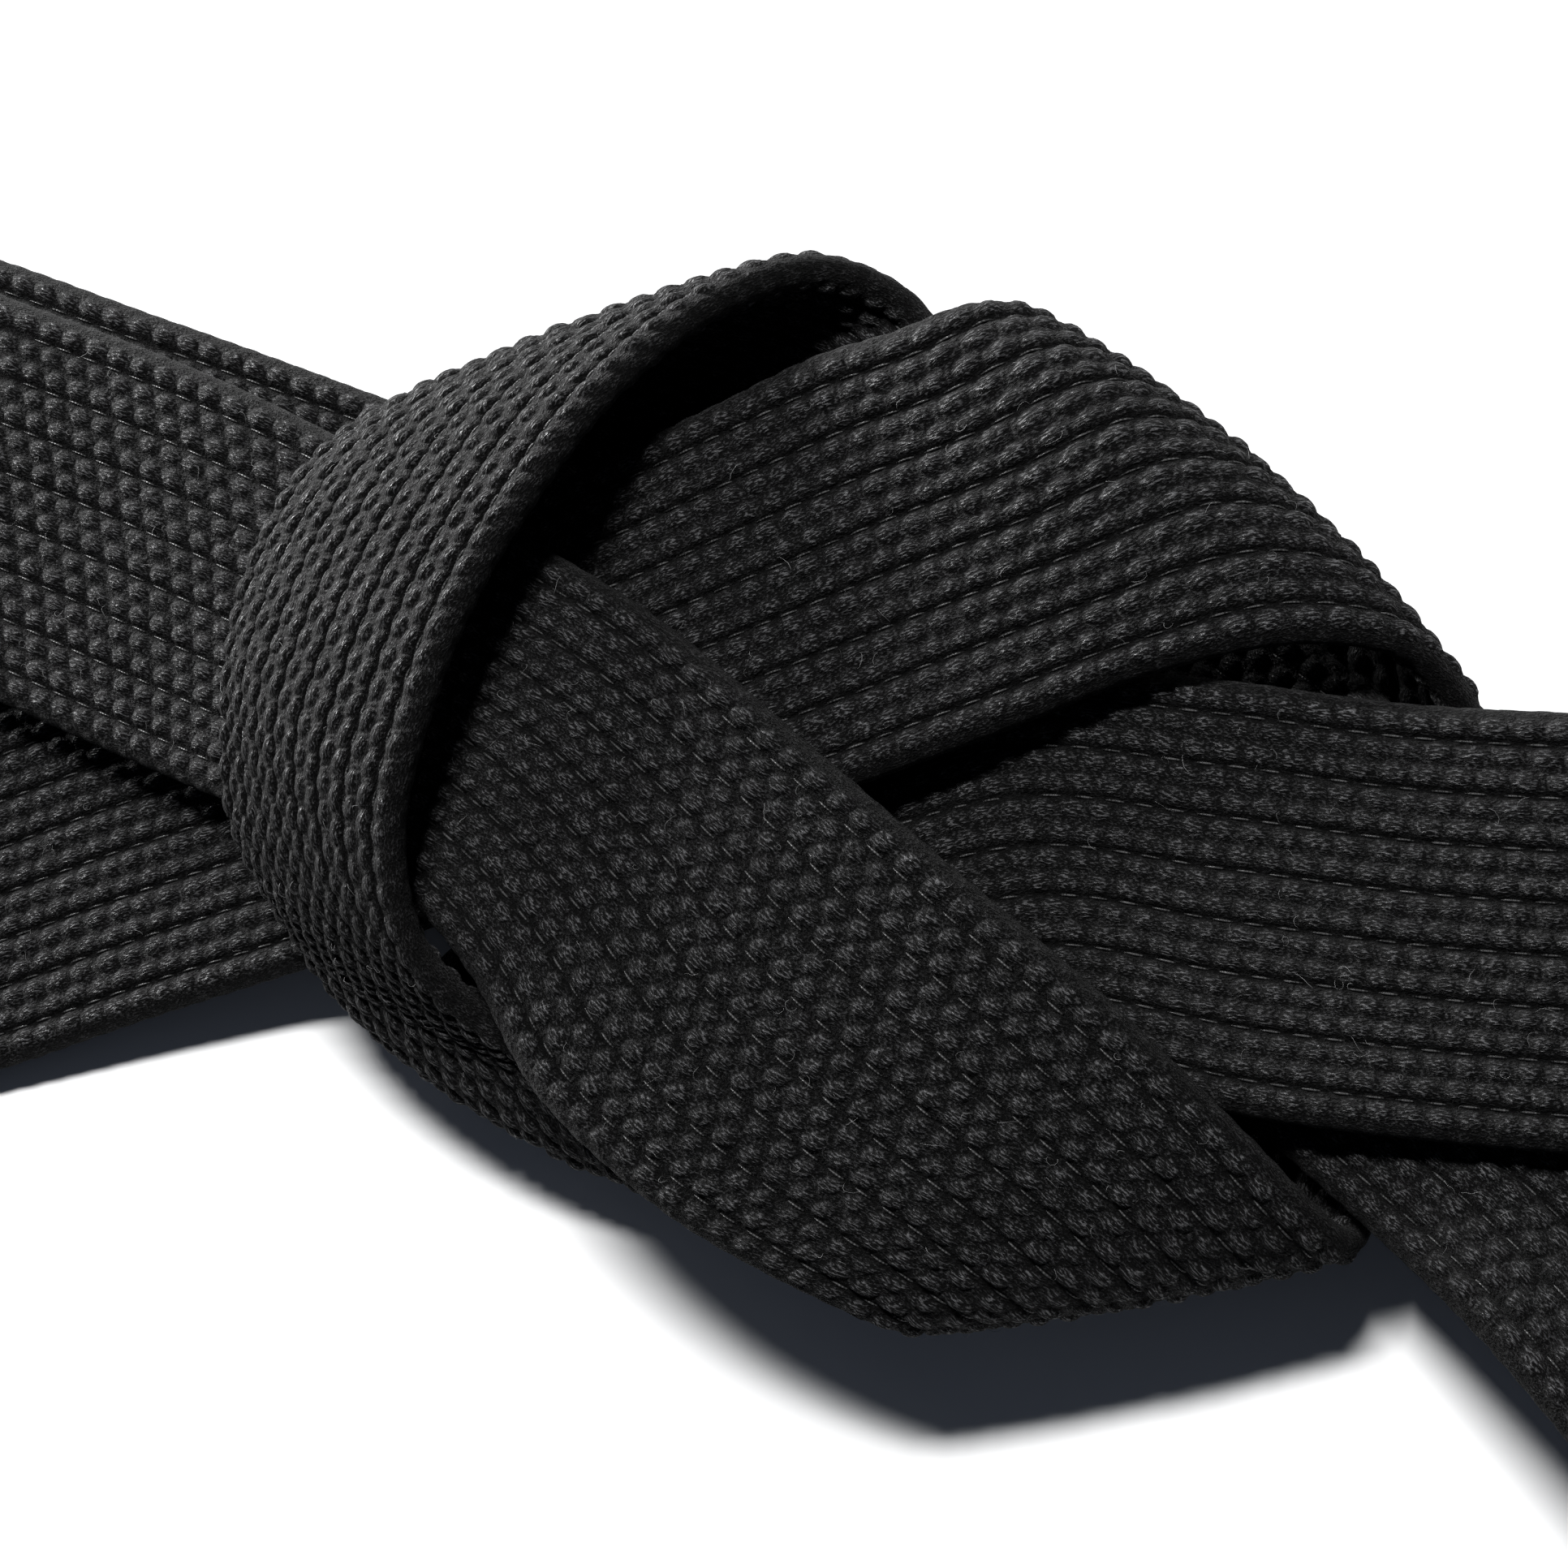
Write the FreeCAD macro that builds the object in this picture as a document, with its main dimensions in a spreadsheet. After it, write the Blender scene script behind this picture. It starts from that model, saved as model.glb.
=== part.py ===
import FreeCAD, Part
import math
import os

# A martial arts belt lying on a flat surface with its knot tied, waist loop closed.
# Everything is in millimetres.  +X runs along the waist loop, +Z is up, and the origin
# is on the underside of the loop's back run, which is the face the belt rests on.
#
# The belt is one flat strap: a woven cover around three core plies, sewn through by eight
# rows of stitching.  It is followed from the left tip to the right tip by stations.  A
# station gives the two edges of the strap's middle surface there and how far the middle
# of the strap bows out between them.

Vector = FreeCAD.Vector

# The driving dimensions, in mm.  Each one is a cell of the document's sheet.
DIMENSIONS = [
    ("belt_width", 40.0, "width of the strap"),
    ("belt_thickness", 4.0, "thickness over the cover"),
    ("cover_wall", 0.8, "thickness of the woven cover on the two faces"),
    ("cover_edge", 1.0, "thickness of the woven cover at the two edges"),
    ("ply_count", 3, "core plies inside the cover"),
    ("stitch_row_count", 8, "rows of stitching along the strap"),
    ("stitch_first_row", 3.3, "first row of stitching, from the edge"),
    ("stitch_row_step", 4.78, "distance from one row of stitching to the next"),
    ("stitch_width", 0.7, "width of a row of stitching"),
    ("stitch_rise", 0.14, "how far a row of stitching stands proud of the cover"),
    ("hinge_gap", 0.4, "gap between two lengths of strap where a tail bends"),
    ("tuck_length", 8.0, "length of cover tucked back into each tip"),
    ("tuck_clearance", 0.3, "clearance around the tucked end"),
    ("seam_inset", 5.0, "distance from the tip to the seam that closes it"),
    ("seam_length", 34.0, "length of that seam across the strap"),
    ("seam_width", 0.8, "width of that seam"),
    ("seam_rise", 0.2, "how far that seam stands proud of the cover"),
    ("stitch_end_margin", 7.0, "distance from the tip to the ends of the stitch rows"),
    ("bend_per_section", 13.0, "degrees of bend from one section to the next"),
]

FLAT = (0.0, 0.0, 0.0)
# The two edges run the same length between one SQUARE station and the next.
# Across an OBLIQUE station the strap is folded at a slant.
SQUARE = True
OBLIQUE = False

# name, first edge, second edge, bow of the middle, and whether the section is square
STATIONS = [
    ("left_tip", (-303.0, -31.0, 2.0), (-295.0, -70.0, 2.0), FLAT, SQUARE),
    ("left_tail_1", (-262.0, -22.0, 2.0), (-254.0, -61.0, 2.0), FLAT, SQUARE),
    ("left_tail_bend", (-214.0, -12.0, 2.0), (-206.0, -51.0, 2.0), FLAT, SQUARE),
    ("left_tail_2", (-168.0, -2.5, 2.0), (-160.0, -41.5, 2.0), FLAT, SQUARE),
    ("left_tail_root", (-130.0, 5.0, 2.6), (-121.0, -34.0, 2.3), FLAT, SQUARE),
    ("left_rise_1", (-104.0, 10.5, 4.6), (-94.5, -28.5, 3.6), FLAT, SQUARE),
    ("left_rise_2", (-84.0, 15.5, 7.0), (-74.0, -23.5, 6.2), FLAT, SQUARE),
    ("left_rise_3", (-65.0, 19.5, 9.2), (-56.0, -19.5, 8.6), FLAT, SQUARE),
    ("left_rise_4", (-44.0, 23.5, 13.0), (-35.0, -15.0, 12.6), FLAT, SQUARE),
    ("left_rise_5", (-24.0, 27.5, 18.0), (-15.0, -11.0, 17.6), FLAT, SQUARE),
    ("upper_band_1", (-6.0, 32.5, 23.0), (4.0, -7.0, 22.5), FLAT, SQUARE),
    ("upper_band_2", (5.0, 36.0, 25.0), (22.0, -2.0, 24.3), FLAT, OBLIQUE),
    ("upper_band_3", (12.5, 37.5, 25.2), (38.0, 3.0, 24.6), (0.0, 0.0, 1.0), OBLIQUE),
    ("top_fold_1", (18.2, 39.6, 23.5), (51.5, 5.2, 22.8), (2.0, 2.4, 1.0), OBLIQUE),
    ("top_fold_2", (22.2, 40.3, 19.5), (60.8, 3.8, 18.5), (2.0, 2.0, 1.0), OBLIQUE),
    ("top_fold_3", (23.5, 39.2, 14.5), (65.3, -0.8, 13.5), (2.0, 2.2, 0.0), OBLIQUE),
    ("top_fold_4", (22.0, 34.5, 9.0), (66.3, -6.5, 8.8), (1.5, 1.5, 0.0), OBLIQUE),
    ("top_fold_5", (21.0, 28.0, 6.8), (65.0, -13.5, 6.8), (1.0, 1.0, 0.0), OBLIQUE),
    ("under_band_1", (20.0, 14.0, 6.5), (61.0, -22.0, 6.5), FLAT, OBLIQUE),
    ("under_band_2", (18.0, -8.0, 6.5), (58.0, -28.0, 6.5), FLAT, OBLIQUE),
    ("under_band_3", (15.0, -30.0, 6.8), (55.0, -34.0, 6.8), FLAT, SQUARE),
    ("under_band_4", (12.5, -43.0, 6.8), (55.0, -40.8, 6.8), FLAT, OBLIQUE),
    ("bottom_fold_1", (11.5, -51.5, 8.5), (54.6, -46.0, 8.4), (0.0, -0.5, 0.0), OBLIQUE),
    ("bottom_fold_2", (11.5, -55.5, 13.5), (53.5, -49.3, 13.3), (0.0, -1.0, 0.0), OBLIQUE),
    ("bottom_fold_3", (8.5, -56.0, 19.0), (51.3, -47.3, 18.8), (0.0, -1.0, 0.0), OBLIQUE),
    ("bottom_fold_4", (1.0, -53.0, 22.3), (45.5, -40.5, 23.5), FLAT, OBLIQUE),
    ("lower_band_1", (-11.0, -46.0, 24.0), (34.0, -28.5, 27.0), FLAT, OBLIQUE),
    ("lower_band_2", (-23.0, -35.0, 25.5), (20.0, -16.0, 29.0), FLAT, OBLIQUE),
    ("lower_band_3", (-30.0, -23.0, 26.0), (6.0, -3.5, 30.0), FLAT, OBLIQUE),
    ("lower_band_4", (-38.6, -14.0, 23.6), (-9.0, 9.5, 30.0), FLAT, SQUARE),
    ("left_front_1", (-49.0, -7.5, 19.3), (-25.0, 20.0, 24.5), FLAT, OBLIQUE),
    ("left_front_2", (-62.0, -2.5, 15.8), (-42.0, 30.0, 17.3), FLAT, OBLIQUE),
    ("left_front_3", (-79.0, 5.0, 14.0), (-62.0, 41.0, 15.0), FLAT, SQUARE),
    ("left_front_4", (-100.0, 14.5, 13.6), (-84.0, 51.0, 13.6), FLAT, SQUARE),
    ("left_front_5", (-142.0, 31.0, 14.5), (-129.0, 69.0, 14.5), FLAT, SQUARE),
    ("left_front_6", (-185.0, 42.0, 18.5), (-177.0, 81.0, 18.5), FLAT, SQUARE),
    ("left_front_7", (-214.0, 46.5, 22.0), (-209.0, 86.0, 22.0), FLAT, SQUARE),
    ("left_loop_bend_1", (-229.0, 49.0, 21.5), (-224.0, 88.5, 21.5), FLAT, OBLIQUE),
    ("left_loop_bend_2", (-236.5, 50.5, 17.5), (-231.5, 90.0, 17.5), FLAT, OBLIQUE),
    ("left_loop_bend_3", (-239.0, 51.0, 12.0), (-234.0, 90.5, 12.0), FLAT, OBLIQUE),
    ("left_loop_bend_4", (-236.5, 50.5, 6.5), (-231.5, 90.0, 6.5), FLAT, OBLIQUE),
    ("left_loop_bend_5", (-229.0, 49.0, 2.6), (-224.0, 88.5, 2.6), FLAT, OBLIQUE),
    ("back_run_1", (-212.0, 45.5, 2.0), (-207.0, 85.0, 2.0), FLAT, SQUARE),
    ("back_run_2", (-165.0, 38.0, 2.0), (-157.0, 77.0, 2.0), FLAT, SQUARE),
    ("back_run_3", (-120.0, 27.0, 2.0), (-107.0, 65.0, 2.0), FLAT, SQUARE),
    ("back_run_4", (-90.0, 15.5, 2.0), (-75.5, 52.5, 2.0), FLAT, SQUARE),
    ("back_run_5", (-52.0, -1.0, 2.0), (-36.5, 36.0, 2.0), FLAT, SQUARE),
    ("back_run_6", (-14.0, -16.5, 2.0), (1.5, 20.5, 2.0), FLAT, SQUARE),
    ("back_run_7", (30.0, -34.0, 2.0), (44.0, 3.5, 2.0), FLAT, SQUARE),
    ("back_run_8", (74.0, -47.5, 2.0), (84.0, -9.0, 2.0), FLAT, SQUARE),
    ("back_run_9", (120.0, -54.0, 2.0), (124.0, -14.5, 2.0), FLAT, SQUARE),
    ("back_run_10", (170.0, -56.0, 2.0), (171.0, -16.0, 2.0), FLAT, SQUARE),
    ("back_run_11", (196.0, -56.0, 2.0), (196.5, -16.0, 2.0), FLAT, SQUARE),
    ("right_loop_bend_1", (211.0, -56.0, 2.8), (211.5, -16.0, 2.8), FLAT, OBLIQUE),
    ("right_loop_bend_2", (218.0, -56.0, 6.8), (218.5, -16.0, 6.8), FLAT, OBLIQUE),
    ("right_loop_bend_3", (220.5, -56.0, 12.3), (221.0, -16.0, 12.3), FLAT, OBLIQUE),
    ("right_loop_bend_4", (218.0, -56.0, 17.8), (218.5, -16.0, 17.8), FLAT, OBLIQUE),
    ("right_loop_bend_5", (211.0, -56.0, 21.8), (211.5, -16.0, 21.8), FLAT, OBLIQUE),
    ("right_front_1", (196.0, -55.5, 23.0), (196.5, -15.5, 23.0), FLAT, SQUARE),
    ("right_front_2", (160.0, -52.5, 22.0), (162.0, -12.5, 22.0), FLAT, SQUARE),
    ("right_front_3", (120.0, -48.0, 20.5), (123.5, -8.0, 20.5), FLAT, SQUARE),
    ("right_front_4", (86.0, -43.8, 20.0), (88.5, -3.8, 21.0), FLAT, SQUARE),
    ("right_front_5", (64.0, -41.2, 19.6), (61.0, -0.8, 20.7), FLAT, SQUARE),
    ("right_front_6", (46.0, -38.5, 18.8), (41.0, 3.0, 20.2), FLAT, SQUARE),
    ("right_front_7", (27.0, -34.0, 16.8), (22.0, 5.5, 19.0), FLAT, SQUARE),
    ("tuck_1", (10.0, -36.0, 12.5), (3.0, 2.0, 16.0), FLAT, OBLIQUE),
    ("tuck_2", (2.0, -39.0, 9.5), (-17.0, -3.5, 11.0), FLAT, OBLIQUE),
    ("tuck_3", (-1.0, -41.0, 6.9), (-31.0, -8.0, 6.8), FLAT, OBLIQUE),
    ("collar_1", (-3.5, -44.0, 6.3), (-40.5, -17.5, 5.5), (-1.0, -2.0, 0.0), OBLIQUE),
    ("collar_2", (-7.5, -44.8, 9.5), (-45.0, -22.3, 7.7), (-2.5, -2.5, 0.0), OBLIQUE),
    ("collar_3", (-11.0, -41.0, 13.5), (-49.0, -21.5, 12.3), (-3.0, -2.5, 0.0), OBLIQUE),
    ("collar_4", (-17.8, -33.8, 16.5), (-53.5, -13.5, 18.0), (-3.0, -2.0, 1.0), OBLIQUE),
    ("collar_5", (-28.2, -28.2, 20.8), (-57.0, -3.0, 23.3), (-2.5, -2.0, 1.0), OBLIQUE),
    ("collar_6", (-34.3, -21.2, 27.4), (-57.0, 6.0, 24.0), (-1.5, -1.0, 2.0), OBLIQUE),
    ("collar_7", (-34.8, -10.5, 32.5), (-56.5, 13.0, 23.5), (-1.5, 0.0, 2.0), OBLIQUE),
    ("collar_8", (-31.0, 1.0, 35.5), (-55.2, 19.0, 23.2), (-1.0, 0.0, 1.5), OBLIQUE),
    ("collar_9", (-26.5, 11.5, 36.0), (-53.3, 23.6, 22.8), (-1.0, 0.0, 1.0), OBLIQUE),
    ("collar_10", (-20.0, 22.0, 35.5), (-51.0, 27.8, 22.1), (-1.0, 0.0, 1.0), OBLIQUE),
    ("collar_11", (-12.0, 33.0, 33.0), (-48.0, 31.2, 20.4), (-1.0, 0.5, 1.0), OBLIQUE),
    ("collar_12", (-3.0, 42.0, 27.5), (-45.0, 34.3, 17.8), (0.0, 1.0, 1.0), OBLIQUE),
    ("collar_13", (5.0, 46.0, 21.5), (-41.0, 34.8, 13.4), (0.0, 1.8, 0.0), OBLIQUE),
    ("collar_14", (11.5, 44.0, 15.7), (-35.5, 33.4, 9.4), (1.0, 2.6, -1.0), OBLIQUE),
    ("right_inner_1", (17.0, 36.5, 13.2), (-26.0, 28.5, 7.7), (2.0, 3.0, -0.5), OBLIQUE),
    ("right_inner_2", (25.0, 29.0, 12.8), (-14.0, 16.5, 8.2), (1.0, 1.0, 0.0), OBLIQUE),
    ("right_inner_3", (34.0, 21.5, 12.8), (1.5, 1.5, 10.7), FLAT, OBLIQUE),
    ("right_inner_4", (46.0, 11.0, 12.5), (17.5, -14.5, 11.6), FLAT, SQUARE),
    ("right_lower_1", (61.5, -2.3, 13.2), (34.0, -30.1, 12.5), FLAT, SQUARE),
    ("right_lower_2", (77.3, -15.7, 15.0), (50.0, -44.2, 13.4), FLAT, SQUARE),
    ("right_lower_3", (92.8, -31.2, 14.6), (65.3, -58.6, 19.0), (0.0, 0.0, -1.6), SQUARE),
    ("right_tail_root", (108.0, -48.0, 12.5), (79.5, -76.0, 17.0), FLAT, SQUARE),
    ("right_tail_1", (128.0, -68.0, 6.0), (100.0, -96.0, 8.5), FLAT, SQUARE),
    ("right_tail_bend", (150.0, -89.0, 2.3), (122.5, -118.0, 2.3), FLAT, SQUARE),
    ("right_tail_2", (180.0, -115.0, 2.0), (155.0, -146.0, 2.0), FLAT, SQUARE),
    ("right_tail_3", (214.0, -140.0, 2.0), (192.0, -173.0, 2.0), FLAT, SQUARE),
    ("right_tip", (250.0, -162.0, 2.0), (230.0, -196.5, 2.0), FLAT, SQUARE),
]

STATION_NAMES = [station[0] for station in STATIONS]
# Sections are cut across the strap at its edges and at each quarter of its width.
WIDTH_STEPS = 4


def add(first, second):
    return tuple(a + b for a, b in zip(first, second))


def subtract(first, second):
    return tuple(a - b for a, b in zip(first, second))


def scale(vector, factor):
    return tuple(factor * a for a in vector)


def cross(a, b):
    return (a[1] * b[2] - a[2] * b[1], a[2] * b[0] - a[0] * b[2], a[0] * b[1] - a[1] * b[0])


def dot(first, second):
    return sum(a * b for a, b in zip(first, second))


def unit(vector):
    return scale(vector, 1.0 / math.sqrt(dot(vector, vector)))


def between(first, second, share):
    return tuple(a + (b - a) * share for a, b in zip(first, second))


class Route:
    """The strap's middle surface as a smooth function of the station number."""

    def __init__(self, stations):
        self.values = [first + second + bow for _, first, second, bow, _ in stations]
        self.knots = [0.0]
        for before, after in zip(self.values, self.values[1:]):
            edges = subtract(after[:6], before[:6])
            self.knots.append(self.knots[-1] + dot(edges, edges) ** 0.25)
        self.slopes = [self.slope(number) for number in range(len(self.values))]

    def slope(self, number):
        last = len(self.values) - 1
        low = max(number - 1, 0)
        high = min(number + 1, last)
        if number in (0, last):
            rise = subtract(self.values[high], self.values[low])
            return scale(rise, 1.0 / (self.knots[high] - self.knots[low]))
        before = self.knots[number] - self.knots[low]
        after = self.knots[high] - self.knots[number]
        into = scale(subtract(self.values[number], self.values[low]), after / before)
        out = scale(subtract(self.values[high], self.values[number]), before / after)
        return scale(add(into, out), 1.0 / (before + after))

    def edges_at(self, place):
        """The station values and their rates of change at a place along the route."""
        number = min(int(place), len(self.values) - 2)
        q = place - number
        step = self.knots[number + 1] - self.knots[number]
        weights = (
            2 * q**3 - 3 * q**2 + 1,
            (q**3 - 2 * q**2 + q) * step,
            3 * q**2 - 2 * q**3,
            (q**3 - q**2) * step,
        )
        rates = (
            (6 * q**2 - 6 * q) / step,
            3 * q**2 - 4 * q + 1,
            (6 * q - 6 * q**2) / step,
            3 * q**2 - 2 * q,
        )
        sources = (
            self.values[number],
            self.slopes[number],
            self.values[number + 1],
            self.slopes[number + 1],
        )
        value = scale(sources[0], 0.0)
        rate = value
        for weight, change, source in zip(weights, rates, sources):
            value = add(value, scale(source, weight))
            rate = add(rate, scale(source, change))
        return value, rate

    def point(self, place, share):
        """A point of the middle surface, and the normal of the belt's outer face there."""
        value, rate = self.edges_at(place)
        bow = 4.0 * share * (1.0 - share)
        where = add(between(value[:3], value[3:6], share), scale(value[6:], bow))
        along = add(between(rate[:3], rate[3:6], share), scale(rate[6:], bow))
        tilt = scale(value[6:], 4.0 * (1.0 - 2.0 * share))
        across = add(subtract(value[3:6], value[:3]), tilt)
        return where, unit(cross(across, along))

    def turn(self, number):
        """Degrees the strap turns between a station and the next, at either edge or the middle."""
        most = 0.0
        for share in (0.0, 0.5, 1.0):
            _, first = self.point(number, share)
            _, second = self.point(number + 1, share)
            cosine = max(-1.0, min(1.0, dot(first, second)))
            most = max(most, math.degrees(math.acos(cosine)))
        return most

    def span(self, number):
        """Length of the middle line between a station and the next."""
        first, _ = self.point(number, 0.5)
        second, _ = self.point(number + 1, 0.5)
        return math.dist(first, second)


route = Route(STATIONS)

doc = FreeCAD.newDocument("martial_arts_belt")
sheet = doc.addObject("Spreadsheet::Sheet", "Sizes")
for row, (alias, value, meaning) in enumerate(DIMENSIONS, start=1):
    sheet.set(f"A{row}", meaning)
    sheet.set(f"B{row}", str(value))
    sheet.setAlias(f"B{row}", alias)
doc.recompute()


def size(alias):
    return float(sheet.get(alias))


HALF_THICKNESS = size("belt_thickness") / 2.0
HALF_CORE = HALF_THICKNESS - size("cover_wall")
EDGE_SHARE = size("cover_edge") / size("belt_width")
PLY_COUNT = int(size("ply_count"))
PLY_THICKNESS = 2.0 * HALF_CORE / PLY_COUNT
PLY_LEVELS = [-HALF_CORE + PLY_THICKNESS * number for number in range(PLY_COUNT + 1)]
QUARTERS = [step / WIDTH_STEPS for step in range(WIDTH_STEPS + 1)]
OUTER_SHARES = QUARTERS
INNER_SHARES = [EDGE_SHARE] + QUARTERS[1:-1] + [1.0 - EDGE_SHARE]
# Two sections are never closer than this share of the way from a station to the next.
SMALLEST_STEP = 0.04


def sections(start, end, stops):
    """Places along the route from start to end, closer together where the strap bends."""
    places = [start] + stops + [end]
    for number in range(int(start), math.ceil(end)):
        pieces = max(1, math.ceil(route.turn(number) / size("bend_per_section")))
        for piece in range(pieces):
            place = number + piece / pieces
            if all(abs(place - taken) > SMALLEST_STEP for taken in places) and start < place < end:
                places.append(place)
    return sorted(set(places))


def layer(places, shares, level):
    """Rows of points at one level above the middle surface, one row to a section."""
    rows = []
    for place in places:
        row = []
        for share in shares:
            where, normal = route.point(place, share)
            row.append(add(where, scale(normal, level)))
        rows.append(row)
    return rows


class Facets:
    """Collects triangles that share their corners, and makes a closed solid of them."""

    def __init__(self):
        self.points = []
        self.numbers = {}
        self.triangles = []

    def number(self, point):
        key = tuple(round(value, 6) for value in point)
        if key not in self.numbers:
            self.numbers[key] = len(self.points)
            self.points.append(Vector(*point))
        return self.numbers[key]

    def triangle(self, a, b, c):
        corners = (self.number(a), self.number(b), self.number(c))
        if len(set(corners)) == 3:
            self.triangles.append(corners)

    def quad(self, a, b, c, d):
        self.triangle(a, b, c)
        self.triangle(a, c, d)

    def skin(self, rows, turned):
        """Covers neighbouring rows, with every quad split along the same diagonal."""
        for here, following in zip(rows, rows[1:]):
            for step in range(len(here) - 1):
                a, b = here[step], following[step]
                c, d = following[step + 1], here[step + 1]
                if turned:
                    self.triangle(a, c, b)
                    self.triangle(a, d, c)
                else:
                    self.triangle(a, b, c)
                    self.triangle(a, c, d)

    def solid(self):
        shell = Part.Shape()
        shell.makeShapeFromMesh((self.points, self.triangles), 0.0005)
        made = Part.makeSolid(shell.Shells[0])
        if made.Volume < 0.0:
            shell = shell.Shells[0]
            shell.reverse()
            made = Part.makeSolid(shell)
        return made


def edge_walls(places, shares, levels):
    """The two side walls of a layer stack: rows of points that climb through the levels."""
    walls = []
    for share in (shares[0], shares[-1]):
        rows = []
        for place in places:
            where, normal = route.point(place, share)
            rows.append([add(where, scale(normal, level)) for level in levels])
        walls.append(rows)
    return walls


def add_tube(facets, places, shares, levels, turned):
    """The outside of a layer stack between its two end sections."""
    low = layer(places, shares, levels[0])
    high = layer(places, shares, levels[-1])
    first_wall, second_wall = edge_walls(places, shares, levels)
    facets.skin(high, turned)
    facets.skin(low, not turned)
    facets.skin(first_wall, not turned)
    facets.skin(second_wall, turned)
    rings = []
    for end in (0, -1):
        ring = low[end][:-1] + second_wall[end][:-1]
        ring += high[end][:0:-1] + first_wall[end][:0:-1]
        rings.append(ring)
    return low, high, rings


def cover_solid(places):
    """The woven cover: a flat tube, open at both end sections."""
    facets = Facets()
    outer_levels = [-HALF_THICKNESS] + PLY_LEVELS[1:-1] + [HALF_THICKNESS]
    _, _, outer_rings = add_tube(facets, places, OUTER_SHARES, outer_levels, False)
    _, _, inner_rings = add_tube(facets, places, INNER_SHARES, PLY_LEVELS, True)
    for outer, inner, turned in zip(outer_rings, inner_rings, (True, False)):
        for step in range(len(outer)):
            onward = (step + 1) % len(outer)
            corners = [outer[step], outer[onward], inner[onward], inner[step]]
            if turned:
                corners.reverse()
            facets.quad(*corners)
    return facets.solid()


def ply_solid(places, number):
    """One core ply, which fills its share of the height inside the cover."""
    facets = Facets()
    levels = [PLY_LEVELS[number], PLY_LEVELS[number + 1]]
    low, high, _ = add_tube(facets, places, INNER_SHARES, levels, False)
    for end, turned in ((0, False), (-1, True)):
        for step in range(len(low[end]) - 1):
            a, b = low[end][step], low[end][step + 1]
            c, d = high[end][step + 1], high[end][step]
            corners = [a, b, c, d]
            if turned:
                corners.reverse()
            facets.quad(*corners)
    return facets.solid()


def stitch_row(places, centre, side):
    """One row of stitching: a low ridge that lies exactly on the facets of the cover."""
    half = size("stitch_width") / size("belt_width") / 2.0
    step = int(centre * WIDTH_STEPS)
    shares = [(centre + offset) * WIDTH_STEPS - step for offset in (-half, half)]
    face = layer(places, OUTER_SHARES, side * HALF_THICKNESS)
    rise = side * size("stitch_rise")

    def ridge(one, other, place):
        low = [between(one, other, share) for share in shares]
        _, normal = route.point(place, centre)
        middle = between(low[0], low[1], 0.5)
        return [low[0], add(middle, scale(normal, rise)), low[1]]

    rows = []
    for here, following, place, next_place in zip(face, face[1:], places, places[1:]):
        rows.append(ridge(here[step], here[step + 1], place))
        # where the ridge crosses the fold between the two facets of a quad
        crossing = place + (next_place - place) * (shares[0] + shares[1]) / 2.0
        rows.append(ridge(here[step], following[step + 1], crossing))
    rows.append(ridge(face[-1][step], face[-1][step + 1], places[-1]))
    facets = Facets()
    for here, following in zip(rows, rows[1:]):
        for one, two in ((0, 1), (1, 2), (2, 0)):
            facets.quad(here[one], following[one], following[two], here[two])
    facets.triangle(*rows[0])
    facets.triangle(*reversed(rows[-1]))
    return facets.solid()


def stitching_solids(places, side):
    rows = []
    for number in range(int(size("stitch_row_count"))):
        along = size("stitch_first_row") + number * size("stitch_row_step")
        rows.append(stitch_row(places, along / size("belt_width"), side))
    return Part.makeCompound(rows)


nodes = []


def add_shape(label, shape):
    """A sub-part whose shape is set in code from the sheet's sizes."""
    node = doc.addObject("Part::Feature", label)
    node.Label = label
    node.Shape = shape
    node.Placement = FreeCAD.Placement()
    nodes.append(node)


def place_at(station, distance):
    """The place a distance past a station, or before it if the distance is negative."""
    number = STATION_NAMES.index(station)
    neighbour = number if distance >= 0.0 else number - 1
    return number + distance / route.span(neighbour)


PLY_NAMES = ["inner_ply", "middle_ply", "outer_ply"]
HALF_GAP = size("hinge_gap") / 2.0
TUCK = size("tuck_length")
MARGIN = size("stitch_end_margin")

# length of strap, its first and last station, how far the core and the stitching stop
# short of each end, and the face that carries the modelled stitching
LENGTHS = [
    ("left_tail_end", "left_tip", "left_tail_bend", (TUCK, 0.0), (MARGIN, 0.0), 1),
    ("left_tail_near", "left_tail_bend", "left_tail_root", (0.0, 0.0), (0.0, 0.0), 1),
    ("waist_loop_and_knot", "left_tail_root", "right_tail_root", (0.0, 0.0), (0.0, 0.0), -1),
    ("right_tail_near", "right_tail_root", "right_tail_bend", (0.0, 0.0), (0.0, 0.0), 1),
    ("right_tail_end", "right_tail_bend", "right_tip", (0.0, TUCK), (0.0, MARGIN), 1),
]

for label, first, last, core_short, stitch_short, side in LENGTHS:
    start_gap = 0.0 if first == "left_tip" else HALF_GAP
    end_gap = 0.0 if last == "right_tip" else HALF_GAP
    core_start = place_at(first, max(start_gap, core_short[0]))
    core_end = place_at(last, -max(end_gap, core_short[1]))
    stitch_start = place_at(first, max(start_gap, stitch_short[0]))
    stitch_end = place_at(last, -max(end_gap, stitch_short[1]))
    cover_places = sections(
        place_at(first, start_gap),
        place_at(last, -end_gap),
        [core_start, core_end, stitch_start, stitch_end],
    )
    core_places = [place for place in cover_places if core_start <= place <= core_end]
    stitch_places = [place for place in cover_places if stitch_start <= place <= stitch_end]
    add_shape(f"{label}_cover", cover_solid(cover_places))
    for ply in range(PLY_COUNT):
        add_shape(f"{label}_{PLY_NAMES[ply]}", ply_solid(core_places, ply))
    add_shape(f"{label}_stitching", stitching_solids(stitch_places, side))


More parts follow.
